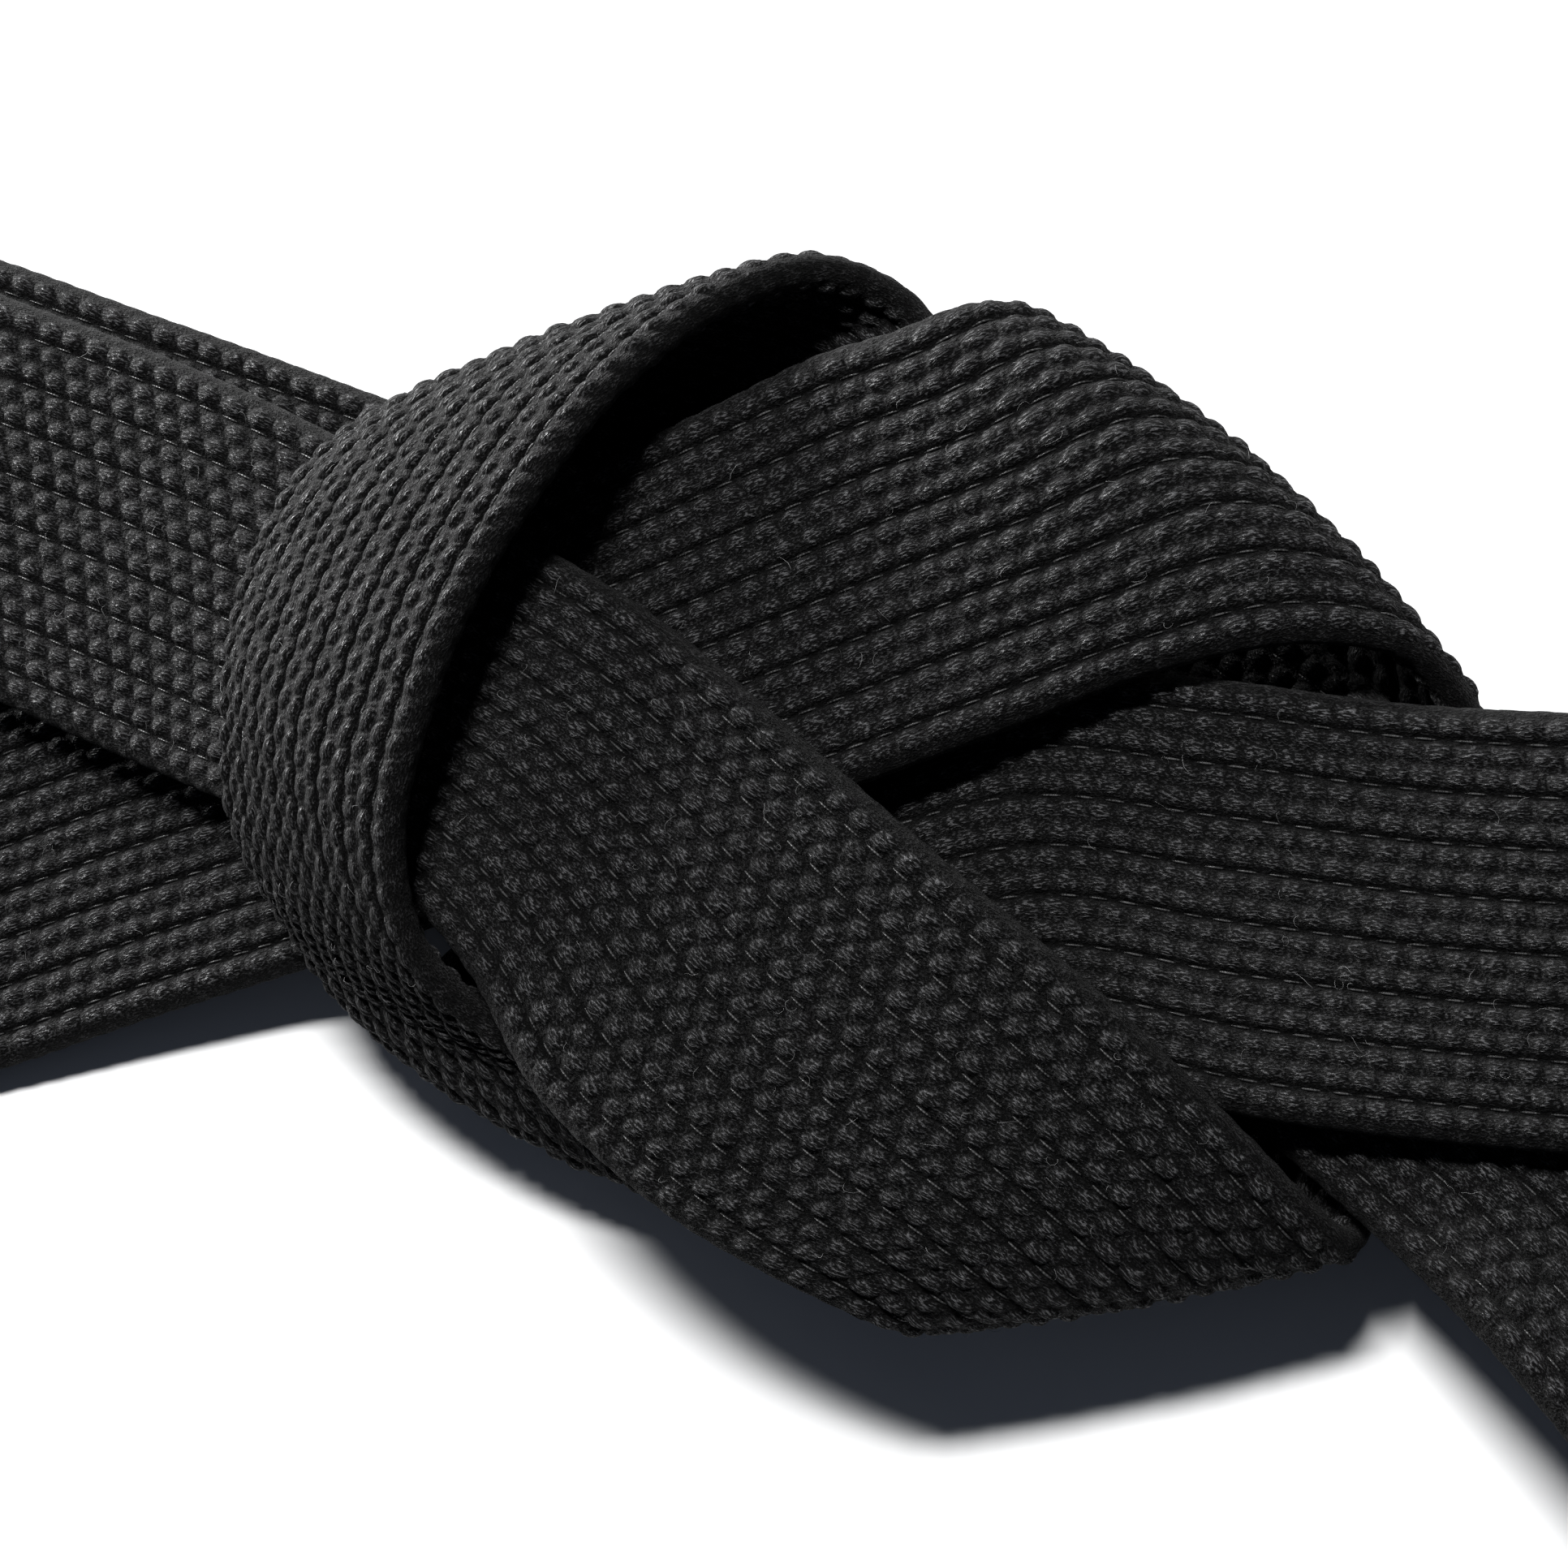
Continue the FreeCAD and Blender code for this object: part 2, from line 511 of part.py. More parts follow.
def add_tip_box(label, lengths, distance_in, level, tip):
    """A flat box lying across a tip, its sizes bound to the sheet."""
    box = doc.addObject("Part::Box", label)
    box.Label = label
    for name, expression in zip(("Length", "Width", "Height"), lengths):
        box.setExpression(name, expression)
    doc.recompute()
    sign = 1 if tip == "left_tip" else -1
    place = place_at(tip, sign * distance_in)
    middle, normal = route.point(place, 0.5)
    value, _ = route.edges_at(place)
    across = unit(subtract(value[3:6], value[:3]))
    inward = scale(unit(cross(normal, across)), sign)
    if sign > 0:
        corner = add(middle, scale(across, box.Width.Value / 2.0))
        axes = (Vector(*inward), Vector(*scale(across, -1.0)), Vector(*normal))
    else:
        corner = add(middle, scale(across, -box.Width.Value / 2.0))
        axes = (Vector(*inward), Vector(*across), Vector(*normal))
    corner = add(corner, scale(normal, level))
    box.Placement = FreeCAD.Placement(Vector(*corner), FreeCAD.Rotation(*axes, "XZY"))
    nodes.append(box)


TUCK_SIZES = (
    "Sizes.tuck_length - 2 * Sizes.tuck_clearance",
    "Sizes.belt_width - 2 * Sizes.cover_edge - 2 * Sizes.tuck_clearance",
    "Sizes.belt_thickness - 2 * Sizes.cover_wall - 2 * Sizes.tuck_clearance",
)
SEAM_SIZES = ("Sizes.seam_width", "Sizes.seam_length", "Sizes.seam_rise")
for side_name in ("left", "right"):
    tip_name = f"{side_name}_tip"
    clearance = size("tuck_clearance")
    add_tip_box(f"{side_name}_tip_tuck", TUCK_SIZES, clearance, clearance - HALF_CORE, tip_name)
    add_tip_box(f"{side_name}_tip_seam", SEAM_SIZES, size("seam_inset"), HALF_THICKNESS, tip_name)

doc.recompute()
for item in doc.Objects:
    if "Invalid" in item.State or "Error" in item.State:
        raise RuntimeError(f"{item.Label} did not build: {item.State}")
for node in nodes:
    if node.Shape.isNull() or not node.Shape.isValid():
        raise RuntimeError(f"{node.Label} has a shape that is not valid")
    if node.Shape.Volume <= 0.0:
        raise RuntimeError(f"{node.Label} is inside out")

os.makedirs("parts", exist_ok=True)
for node in nodes:
    node.Shape.exportStep(os.path.join("parts", f"{node.Label}.step"))
    print(f"{node.Label}: {len(node.Shape.Faces)} faces, {node.Shape.Volume:.1f} mm3")
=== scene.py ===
import math

import bpy
import numpy as np
from mathutils import Matrix, Vector


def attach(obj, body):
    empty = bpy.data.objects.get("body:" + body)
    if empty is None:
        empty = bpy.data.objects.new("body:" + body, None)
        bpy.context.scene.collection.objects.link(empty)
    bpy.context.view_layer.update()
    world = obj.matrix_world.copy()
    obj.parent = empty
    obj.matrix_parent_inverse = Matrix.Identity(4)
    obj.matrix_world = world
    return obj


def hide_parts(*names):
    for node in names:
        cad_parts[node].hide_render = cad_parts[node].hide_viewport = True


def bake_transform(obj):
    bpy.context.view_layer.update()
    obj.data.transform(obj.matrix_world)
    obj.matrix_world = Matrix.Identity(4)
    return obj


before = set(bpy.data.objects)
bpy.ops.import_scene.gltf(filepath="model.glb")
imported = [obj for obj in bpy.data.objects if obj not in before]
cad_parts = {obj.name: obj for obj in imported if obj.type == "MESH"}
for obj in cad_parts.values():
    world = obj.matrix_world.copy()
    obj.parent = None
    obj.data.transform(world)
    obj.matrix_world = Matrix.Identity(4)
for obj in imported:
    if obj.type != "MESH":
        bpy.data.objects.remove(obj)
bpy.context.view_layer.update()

MM = 0.001

# The belt is one flat strap, followed from its left tip to its right tip by stations.
# A station gives the two edges of the strap's middle surface, in mm, and how far the
# middle of the strap bows out between them.
FLAT = (0.0, 0.0, 0.0)
SQUARE = True
OBLIQUE = False
STATIONS = [
    ("left_tip", (-303.0, -31.0, 2.0), (-295.0, -70.0, 2.0), FLAT, SQUARE),
    ("left_tail_1", (-262.0, -22.0, 2.0), (-254.0, -61.0, 2.0), FLAT, SQUARE),
    ("left_tail_bend", (-214.0, -12.0, 2.0), (-206.0, -51.0, 2.0), FLAT, SQUARE),
    ("left_tail_2", (-168.0, -2.5, 2.0), (-160.0, -41.5, 2.0), FLAT, SQUARE),
    ("left_tail_root", (-130.0, 5.0, 2.6), (-121.0, -34.0, 2.3), FLAT, SQUARE),
    ("left_rise_1", (-104.0, 10.5, 4.6), (-94.5, -28.5, 3.6), FLAT, SQUARE),
    ("left_rise_2", (-84.0, 15.5, 7.0), (-74.0, -23.5, 6.2), FLAT, SQUARE),
    ("left_rise_3", (-65.0, 19.5, 9.2), (-56.0, -19.5, 8.6), FLAT, SQUARE),
    ("left_rise_4", (-44.0, 23.5, 13.0), (-35.0, -15.0, 12.6), FLAT, SQUARE),
    ("left_rise_5", (-24.0, 27.5, 18.0), (-15.0, -11.0, 17.6), FLAT, SQUARE),
    ("upper_band_1", (-6.0, 32.5, 23.0), (4.0, -7.0, 22.5), FLAT, SQUARE),
    ("upper_band_2", (5.0, 36.0, 25.0), (22.0, -2.0, 24.3), FLAT, OBLIQUE),
    ("upper_band_3", (12.5, 37.5, 25.2), (38.0, 3.0, 24.6), (0.0, 0.0, 1.0), OBLIQUE),
    ("top_fold_1", (18.2, 39.6, 23.5), (51.5, 5.2, 22.8), (2.0, 2.4, 1.0), OBLIQUE),
    ("top_fold_2", (22.2, 40.3, 19.5), (60.8, 3.8, 18.5), (2.0, 2.0, 1.0), OBLIQUE),
    ("top_fold_3", (23.5, 39.2, 14.5), (65.3, -0.8, 13.5), (2.0, 2.2, 0.0), OBLIQUE),
    ("top_fold_4", (22.0, 34.5, 9.0), (66.3, -6.5, 8.8), (1.5, 1.5, 0.0), OBLIQUE),
    ("top_fold_5", (21.0, 28.0, 6.8), (65.0, -13.5, 6.8), (1.0, 1.0, 0.0), OBLIQUE),
    ("under_band_1", (20.0, 14.0, 6.5), (61.0, -22.0, 6.5), FLAT, OBLIQUE),
    ("under_band_2", (18.0, -8.0, 6.5), (58.0, -28.0, 6.5), FLAT, OBLIQUE),
    ("under_band_3", (15.0, -30.0, 6.8), (55.0, -34.0, 6.8), FLAT, SQUARE),
    ("under_band_4", (12.5, -43.0, 6.8), (55.0, -40.8, 6.8), FLAT, OBLIQUE),
    ("bottom_fold_1", (11.5, -51.5, 8.5), (54.6, -46.0, 8.4), (0.0, -0.5, 0.0), OBLIQUE),
    ("bottom_fold_2", (11.5, -55.5, 13.5), (53.5, -49.3, 13.3), (0.0, -1.0, 0.0), OBLIQUE),
    ("bottom_fold_3", (8.5, -56.0, 19.0), (51.3, -47.3, 18.8), (0.0, -1.0, 0.0), OBLIQUE),
    ("bottom_fold_4", (1.0, -53.0, 22.3), (45.5, -40.5, 23.5), FLAT, OBLIQUE),
    ("lower_band_1", (-11.0, -46.0, 24.0), (34.0, -28.5, 27.0), FLAT, OBLIQUE),
    ("lower_band_2", (-23.0, -35.0, 25.5), (20.0, -16.0, 29.0), FLAT, OBLIQUE),
    ("lower_band_3", (-30.0, -23.0, 26.0), (6.0, -3.5, 30.0), FLAT, OBLIQUE),
    ("lower_band_4", (-38.6, -14.0, 23.6), (-9.0, 9.5, 30.0), FLAT, SQUARE),
    ("left_front_1", (-49.0, -7.5, 19.3), (-25.0, 20.0, 24.5), FLAT, OBLIQUE),
    ("left_front_2", (-62.0, -2.5, 15.8), (-42.0, 30.0, 17.3), FLAT, OBLIQUE),
    ("left_front_3", (-79.0, 5.0, 14.0), (-62.0, 41.0, 15.0), FLAT, SQUARE),
    ("left_front_4", (-100.0, 14.5, 13.6), (-84.0, 51.0, 13.6), FLAT, SQUARE),
    ("left_front_5", (-142.0, 31.0, 14.5), (-129.0, 69.0, 14.5), FLAT, SQUARE),
    ("left_front_6", (-185.0, 42.0, 18.5), (-177.0, 81.0, 18.5), FLAT, SQUARE),
    ("left_front_7", (-214.0, 46.5, 22.0), (-209.0, 86.0, 22.0), FLAT, SQUARE),
    ("left_loop_bend_1", (-229.0, 49.0, 21.5), (-224.0, 88.5, 21.5), FLAT, OBLIQUE),
    ("left_loop_bend_2", (-236.5, 50.5, 17.5), (-231.5, 90.0, 17.5), FLAT, OBLIQUE),
    ("left_loop_bend_3", (-239.0, 51.0, 12.0), (-234.0, 90.5, 12.0), FLAT, OBLIQUE),
    ("left_loop_bend_4", (-236.5, 50.5, 6.5), (-231.5, 90.0, 6.5), FLAT, OBLIQUE),
    ("left_loop_bend_5", (-229.0, 49.0, 2.6), (-224.0, 88.5, 2.6), FLAT, OBLIQUE),
    ("back_run_1", (-212.0, 45.5, 2.0), (-207.0, 85.0, 2.0), FLAT, SQUARE),
    ("back_run_2", (-165.0, 38.0, 2.0), (-157.0, 77.0, 2.0), FLAT, SQUARE),
    ("back_run_3", (-120.0, 27.0, 2.0), (-107.0, 65.0, 2.0), FLAT, SQUARE),
    ("back_run_4", (-90.0, 15.5, 2.0), (-75.5, 52.5, 2.0), FLAT, SQUARE),
    ("back_run_5", (-52.0, -1.0, 2.0), (-36.5, 36.0, 2.0), FLAT, SQUARE),
    ("back_run_6", (-14.0, -16.5, 2.0), (1.5, 20.5, 2.0), FLAT, SQUARE),
    ("back_run_7", (30.0, -34.0, 2.0), (44.0, 3.5, 2.0), FLAT, SQUARE),
    ("back_run_8", (74.0, -47.5, 2.0), (84.0, -9.0, 2.0), FLAT, SQUARE),
    ("back_run_9", (120.0, -54.0, 2.0), (124.0, -14.5, 2.0), FLAT, SQUARE),
    ("back_run_10", (170.0, -56.0, 2.0), (171.0, -16.0, 2.0), FLAT, SQUARE),
    ("back_run_11", (196.0, -56.0, 2.0), (196.5, -16.0, 2.0), FLAT, SQUARE),
    ("right_loop_bend_1", (211.0, -56.0, 2.8), (211.5, -16.0, 2.8), FLAT, OBLIQUE),
    ("right_loop_bend_2", (218.0, -56.0, 6.8), (218.5, -16.0, 6.8), FLAT, OBLIQUE),
    ("right_loop_bend_3", (220.5, -56.0, 12.3), (221.0, -16.0, 12.3), FLAT, OBLIQUE),
    ("right_loop_bend_4", (218.0, -56.0, 17.8), (218.5, -16.0, 17.8), FLAT, OBLIQUE),
    ("right_loop_bend_5", (211.0, -56.0, 21.8), (211.5, -16.0, 21.8), FLAT, OBLIQUE),
    ("right_front_1", (196.0, -55.5, 23.0), (196.5, -15.5, 23.0), FLAT, SQUARE),
    ("right_front_2", (160.0, -52.5, 22.0), (162.0, -12.5, 22.0), FLAT, SQUARE),
    ("right_front_3", (120.0, -48.0, 20.5), (123.5, -8.0, 20.5), FLAT, SQUARE),
    ("right_front_4", (86.0, -43.8, 20.0), (88.5, -3.8, 21.0), FLAT, SQUARE),
    ("right_front_5", (64.0, -41.2, 19.6), (61.0, -0.8, 20.7), FLAT, SQUARE),
    ("right_front_6", (46.0, -38.5, 18.8), (41.0, 3.0, 20.2), FLAT, SQUARE),
    ("right_front_7", (27.0, -34.0, 16.8), (22.0, 5.5, 19.0), FLAT, SQUARE),
    ("tuck_1", (10.0, -36.0, 12.5), (3.0, 2.0, 16.0), FLAT, OBLIQUE),
    ("tuck_2", (2.0, -39.0, 9.5), (-17.0, -3.5, 11.0), FLAT, OBLIQUE),
    ("tuck_3", (-1.0, -41.0, 6.9), (-31.0, -8.0, 6.8), FLAT, OBLIQUE),
    ("collar_1", (-3.5, -44.0, 6.3), (-40.5, -17.5, 5.5), (-1.0, -2.0, 0.0), OBLIQUE),
    ("collar_2", (-7.5, -44.8, 9.5), (-45.0, -22.3, 7.7), (-2.5, -2.5, 0.0), OBLIQUE),
    ("collar_3", (-11.0, -41.0, 13.5), (-49.0, -21.5, 12.3), (-3.0, -2.5, 0.0), OBLIQUE),
    ("collar_4", (-17.8, -33.8, 16.5), (-53.5, -13.5, 18.0), (-3.0, -2.0, 1.0), OBLIQUE),
    ("collar_5", (-28.2, -28.2, 20.8), (-57.0, -3.0, 23.3), (-2.5, -2.0, 1.0), OBLIQUE),
    ("collar_6", (-34.3, -21.2, 27.4), (-57.0, 6.0, 24.0), (-1.5, -1.0, 2.0), OBLIQUE),
    ("collar_7", (-34.8, -10.5, 32.5), (-56.5, 13.0, 23.5), (-1.5, 0.0, 2.0), OBLIQUE),
    ("collar_8", (-31.0, 1.0, 35.5), (-55.2, 19.0, 23.2), (-1.0, 0.0, 1.5), OBLIQUE),
    ("collar_9", (-26.5, 11.5, 36.0), (-53.3, 23.6, 22.8), (-1.0, 0.0, 1.0), OBLIQUE),
    ("collar_10", (-20.0, 22.0, 35.5), (-51.0, 27.8, 22.1), (-1.0, 0.0, 1.0), OBLIQUE),
    ("collar_11", (-12.0, 33.0, 33.0), (-48.0, 31.2, 20.4), (-1.0, 0.5, 1.0), OBLIQUE),
    ("collar_12", (-3.0, 42.0, 27.5), (-45.0, 34.3, 17.8), (0.0, 1.0, 1.0), OBLIQUE),
    ("collar_13", (5.0, 46.0, 21.5), (-41.0, 34.8, 13.4), (0.0, 1.8, 0.0), OBLIQUE),
    ("collar_14", (11.5, 44.0, 15.7), (-35.5, 33.4, 9.4), (1.0, 2.6, -1.0), OBLIQUE),
    ("right_inner_1", (17.0, 36.5, 13.2), (-26.0, 28.5, 7.7), (2.0, 3.0, -0.5), OBLIQUE),
    ("right_inner_2", (25.0, 29.0, 12.8), (-14.0, 16.5, 8.2), (1.0, 1.0, 0.0), OBLIQUE),
    ("right_inner_3", (34.0, 21.5, 12.8), (1.5, 1.5, 10.7), FLAT, OBLIQUE),
    ("right_inner_4", (46.0, 11.0, 12.5), (17.5, -14.5, 11.6), FLAT, SQUARE),
    ("right_lower_1", (61.5, -2.3, 13.2), (34.0, -30.1, 12.5), FLAT, SQUARE),
    ("right_lower_2", (77.3, -15.7, 15.0), (50.0, -44.2, 13.4), FLAT, SQUARE),
    ("right_lower_3", (92.8, -31.2, 14.6), (65.3, -58.6, 19.0), (0.0, 0.0, -1.6), SQUARE),
    ("right_tail_root", (108.0, -48.0, 12.5), (79.5, -76.0, 17.0), FLAT, SQUARE),
    ("right_tail_1", (128.0, -68.0, 6.0), (100.0, -96.0, 8.5), FLAT, SQUARE),
    ("right_tail_bend", (150.0, -89.0, 2.3), (122.5, -118.0, 2.3), FLAT, SQUARE),
    ("right_tail_2", (180.0, -115.0, 2.0), (155.0, -146.0, 2.0), FLAT, SQUARE),
    ("right_tail_3", (214.0, -140.0, 2.0), (192.0, -173.0, 2.0), FLAT, SQUARE),
    ("right_tip", (250.0, -162.0, 2.0), (230.0, -196.5, 2.0), FLAT, SQUARE),
]
NAMES = [station[0] for station in STATIONS]

# Sizes of the strap, in mm. CLOTH_HALF is from its middle surface to the body of the cloth,
# which the weave stands on. Its two faces are 1, the outer, and -1, the inner.
WIDTH = 40.0
CLOTH_HALF = 1.45
EDGE_RADIUS = 1.66
FACES = (1, -1)

# Rows of stitching along the strap, and the seam across each tip, in mm. STITCH_SHIFT is
# how far one row may lie along from another, as a share of the pitch.
FIRST_ROW = 3.3
ROW_STEP = 4.78
ROW_COUNT = 8
STITCH_PITCH = 3.1
STITCH_LENGTH = 1.9
STITCH_SHIFT = 0.3
STITCH_WOBBLE = 0.3
STITCH_SINK = 0.24
STITCH_ARCH = 0.18
SEAM_INSET = 5.0
SEAM_SINK = 0.2
SEAM_ARCH = 0.22
SEAM_ENDS = (3.5, WIDTH - 3)
SEAM_CLEARANCE = 2
CHANNEL_DEPTH = 0.30
CHANNEL_WIDTH = 0.24

# One stitch is a short tube of this many points and sides, thinner at both ends.
THREAD_RADIUS = 0.12
THREAD_SIDES = 5
THREAD_TAPER = np.array([0.6, 1.0, 1.05, 1.0, 0.6])
THREAD_STEPS = np.linspace(-0.5, 0.5, len(THREAD_TAPER))

# The two rows of raised yarns between one row of stitching and the next: place across
# as a share of the row step, shift along as a share of the pitch, half length,
# half width and height in mm.
BUMP_PITCH = 3.0
BUMP_ROWS = (
    (0.27, 0.0, 1.18, 0.98, 0.56),
    (0.75, 0.5, 1.14, 0.94, 0.50),
)

# The roundness of their tops, how high they are as shares of the height above, and how
# far they stray from their places, in mm.
BUMP_POWER = 0.55
BUMP_LOWEST = 0.78
BUMP_SPREAD = 0.4
DRIFT_ALONG = 0.3
DRIFT_ACROSS = 0.16

# A row's slow sway along the strap, as a share of the pitch.
SWAY = 0.04
SWAY_RATE = 0.21
SWAY_PHASE = 2.1

# The two low yarns that cross between one raised yarn and the next: their height as a
# share of the raised yarn's, and the rest in mm.
LINK_RISE = 0.3
LINK_OFFSET = 0.27
LINK_WIDTH = 0.13
LINK_REACH = 0.7

# The ground between them: its swell, its small grains and its fuzz, in mm.
PUFF = 0.14
GRAIN_HEIGHT = 0.05
GRAIN_LENGTH = 0.78
GRAIN_STEP = 0.42
FUZZ_HEIGHT = 0.016
FUZZ_PER_MM = 40

# What makes the weave differ from one face of the cover to the other.
OUTER_SEED = 1.0
INNER_SEED = 4.0
INNER_SHIFT = 1.1

# How much of the weave is left at the strap's edges, and how far in it is whole again, in mm.
SELVEDGE_SHARE = 0.2
SELVEDGE_FADE = 1.5

# The thinnest that a tip gets, as a share of the way in to full thickness.
TIP_LEAST = 0.02

# Grid of the mesh, in mm: fine where the strap is seen close up, coarse elsewhere.
FINE = (0.25, 0.25)
COARSE = (0.5, 0.42)
MOST_QUADS = 99000

# One unit of the meshes' texture coordinates, in mm.
UV_UNIT = 10

# Points on the route between one station and the next.
ROUTE_STEPS = 48

# Lint: the points and sides of a fibre, its radius and the share of it left at the far
# end, the height that it starts at, the rise of its arch, its stride from point to point,
# how it curls and wanders, in radians, how far it keeps from the strap's edge and from a
# run's ends, how much one differs from the next, and the first seed. Lengths are in mm.
LINT_STEPS = 7
LINT_SIDES = 3
LINT_RADIUS = 0.015
LINT_TAPER = 0.45
LINT_LIFT = 0.42
LINT_RISE = (0.1, 0.55)
LINT_STRIDE = (0.12, 0.42)
LINT_CURL = 0.45
LINT_WANDER = 0.25
LINT_EDGE = 0.6
LINT_MARGIN = 1.5
LINT_END_MARGIN = 4
LINT_RISE_LUCK = (0.8, 1.1)
LINT_RADIUS_LUCK = (0.7, 1.3)
LINT_SEED = 20


# ---------------------------------------------------------------- the strap's route

VALUES = np.array([first + second + bow for _, first, second, bow, _ in STATIONS])
GAPS = np.linalg.norm(np.diff(VALUES[:, :6], axis=0), axis=1)
KNOTS = np.concatenate([[0.0], np.cumsum(np.sqrt(GAPS))])


def station_slopes():
    """Rate of change of the station values at each station."""
    rise = np.diff(VALUES, axis=0) / np.diff(KNOTS)[:, None]
    slopes = np.empty_like(VALUES)
    slopes[0] = rise[0]
    slopes[-1] = rise[-1]
    before = np.diff(KNOTS)[:-1, None]
    after = np.diff(KNOTS)[1:, None]
    slopes[1:-1] = (after * rise[:-1] + before * rise[1:]) / (before + after)
    return slopes


SLOPES = station_slopes()


def edges_at(places):
    """Station values and their rates of change at places along the route."""
    number = np.clip(places.astype(int), 0, len(VALUES) - 2)
    q = (places - number)[:, None]
    step = (KNOTS[number + 1] - KNOTS[number])[:, None]
    low, high = VALUES[number], VALUES[number + 1]
    low_slope, high_slope = SLOPES[number], SLOPES[number + 1]
    value = (2 * q**3 - 3 * q**2 + 1) * low + (q**3 - 2 * q**2 + q) * step * low_slope
    value += (3 * q**2 - 2 * q**3) * high + (q**3 - q**2) * step * high_slope
    rate = (6 * q**2 - 6 * q) / step * (low - high)
    rate += (3 * q**2 - 4 * q + 1) * low_slope + (3 * q**2 - 2 * q) * high_slope
    return value, rate


def unit(vectors):
    return vectors / (np.linalg.norm(vectors, axis=-1, keepdims=True) + 1e-12)


def middle_surface(places, shares):
    """Points, outward normals and across directions, for places by shares of the width."""
    value, rate = edges_at(places)
    s = shares[None, :, None]
    first, second, bow = value[:, None, :3], value[:, None, 3:6], value[:, None, 6:]
    first_rate, second_rate = rate[:, None, :3], rate[:, None, 3:6]
    bow_rate = rate[:, None, 6:]
    points = first * (1 - s) + second * s + bow * 4 * s * (1 - s)
    along = first_rate * (1 - s) + second_rate * s + bow_rate * 4 * s * (1 - s)
    across = second - first + bow * 4 * (1 - 2 * s)
    return points, unit(np.cross(across, along)), unit(across)


def edge_lengths():
    """Distance along the strap at each edge, made to agree at every square station, and
    distance along the longer edge, which spaces the mesh."""
    places = np.linspace(0, len(STATIONS) - 1, (len(STATIONS) - 1) * ROUTE_STEPS + 1)
    value, _ = edges_at(places)
    lengths = []
    for columns in (slice(0, 3), slice(3, 6)):
        steps = np.linalg.norm(np.diff(value[:, columns], axis=0), axis=1)
        lengths.append(np.concatenate([[0.0], np.cumsum(steps)]))
    longest = np.concatenate([[0.0], np.cumsum(np.maximum(*[np.diff(x) for x in lengths]))])
    squares = [ROUTE_STEPS * number for number, station in enumerate(STATIONS) if station[4]]
    even = [np.zeros_like(places), np.zeros_like(places)]
    start = 0.0
    for low, high in zip(squares, squares[1:]):
        spans = [length[high] - length[low] for length in lengths]
        mean = sum(spans) / 2
        for length, span, out in zip(lengths, spans, even):
            part = slice(low, high + 1)
            out[part] = start + (length[part] - length[low]) / span * mean
        start += mean
    return places, even[0], even[1], longest, start


ROUTE_PLACES, ALONG_FIRST, ALONG_SECOND, LONGEST, TOTAL_LENGTH = edge_lengths()


def along_at(places, shares):
    """Distance along the strap, for places by shares of the width."""
    first = np.interp(places, ROUTE_PLACES, ALONG_FIRST)[:, None]
    second = np.interp(places, ROUTE_PLACES, ALONG_SECOND)[:, None]
    return first + (second - first) * shares[None, :]


def place_of(name):
    return float(NAMES.index(name))


def place_near(name, distance):
    """The place a distance in mm past a station, along the strap's longer edge."""
    at = np.interp(place_of(name), ROUTE_PLACES, LONGEST)
    return float(np.interp(at + distance, LONGEST, ROUTE_PLACES))


# ---------------------------------------------------------------- the weave's relief

def scatter(a, b, seed):
    """A repeatable number from 0 to 1 for each pair of numbers."""
    mixed = np.sin(a * 12.9898 + b * 78.233 + seed * 37.719) * 43758.5453
    return mixed - np.floor(mixed)


def smooth(value):
    """A gentle step from 0 to 1."""
    value = np.clip(value, 0.0, 1.0)
    return value * value * (3 - 2 * value)


def relief(along, across, seed):
    """Height of the weave in mm above the cloth's body."""
    cell = (across - FIRST_ROW) / ROW_STEP
    row = np.floor(cell)
    share = cell - row
    height = PUFF * (1 - np.abs(2 * share - 1) ** 3)
    covered = np.zeros_like(height)
    for centre, shift, half_long, half_wide, rise in BUMP_ROWS:
        sway = SWAY * np.sin(along * SWAY_RATE + row * SWAY_PHASE + seed)
        position = along / BUMP_PITCH + shift + sway
        column = np.round(position)
        luck = scatter(column, row * 3 + centre, seed)
        drift = (scatter(column, row + 9 * centre, seed + 5) - 0.5) * DRIFT_ALONG
        x = (position - column) * BUMP_PITCH + drift
        y = (share - centre) * ROW_STEP + (luck - 0.5) * DRIFT_ACROSS
        inside = np.clip(1 - (x / half_long) ** 2 - (y / half_wide) ** 2, 0, 1)
        height += rise * (BUMP_LOWEST + BUMP_SPREAD * luck) * inside**BUMP_POWER
        covered = np.maximum(covered, inside)
        gap = (position - np.floor(position) - 0.5) * BUMP_PITCH
        links = np.exp(-((np.abs(gap) - LINK_OFFSET) / LINK_WIDTH) ** 2)
        height += LINK_RISE * rise * links * np.exp(-((y / LINK_REACH) ** 4))
    grain_row = np.round(across / GRAIN_STEP)
    grains = np.sin(2 * np.pi * (along / GRAIN_LENGTH + 0.5 * grain_row))
    grains = grains * np.cos(2 * np.pi * across / (2 * GRAIN_STEP))
    height += GRAIN_HEIGHT * grains * (1 - covered)
    nearest = np.clip(np.round(cell), 0, ROW_COUNT - 1)
    from_row = across - FIRST_ROW - nearest * ROW_STEP
    height -= CHANNEL_DEPTH * np.exp(-((from_row / CHANNEL_WIDTH) ** 2))
    for seam in (SEAM_INSET, TOTAL_LENGTH - SEAM_INSET):
        height -= CHANNEL_DEPTH * np.exp(-(((along - seam) / CHANNEL_WIDTH) ** 2))
    fuzz_column, fuzz_row = np.round(along * FUZZ_PER_MM), np.round(across * FUZZ_PER_MM)
    fuzz = scatter(fuzz_column, fuzz_row, seed + 11) - 0.5
    return height + 2 * FUZZ_HEIGHT * fuzz


# ---------------------------------------------------------------- meshes

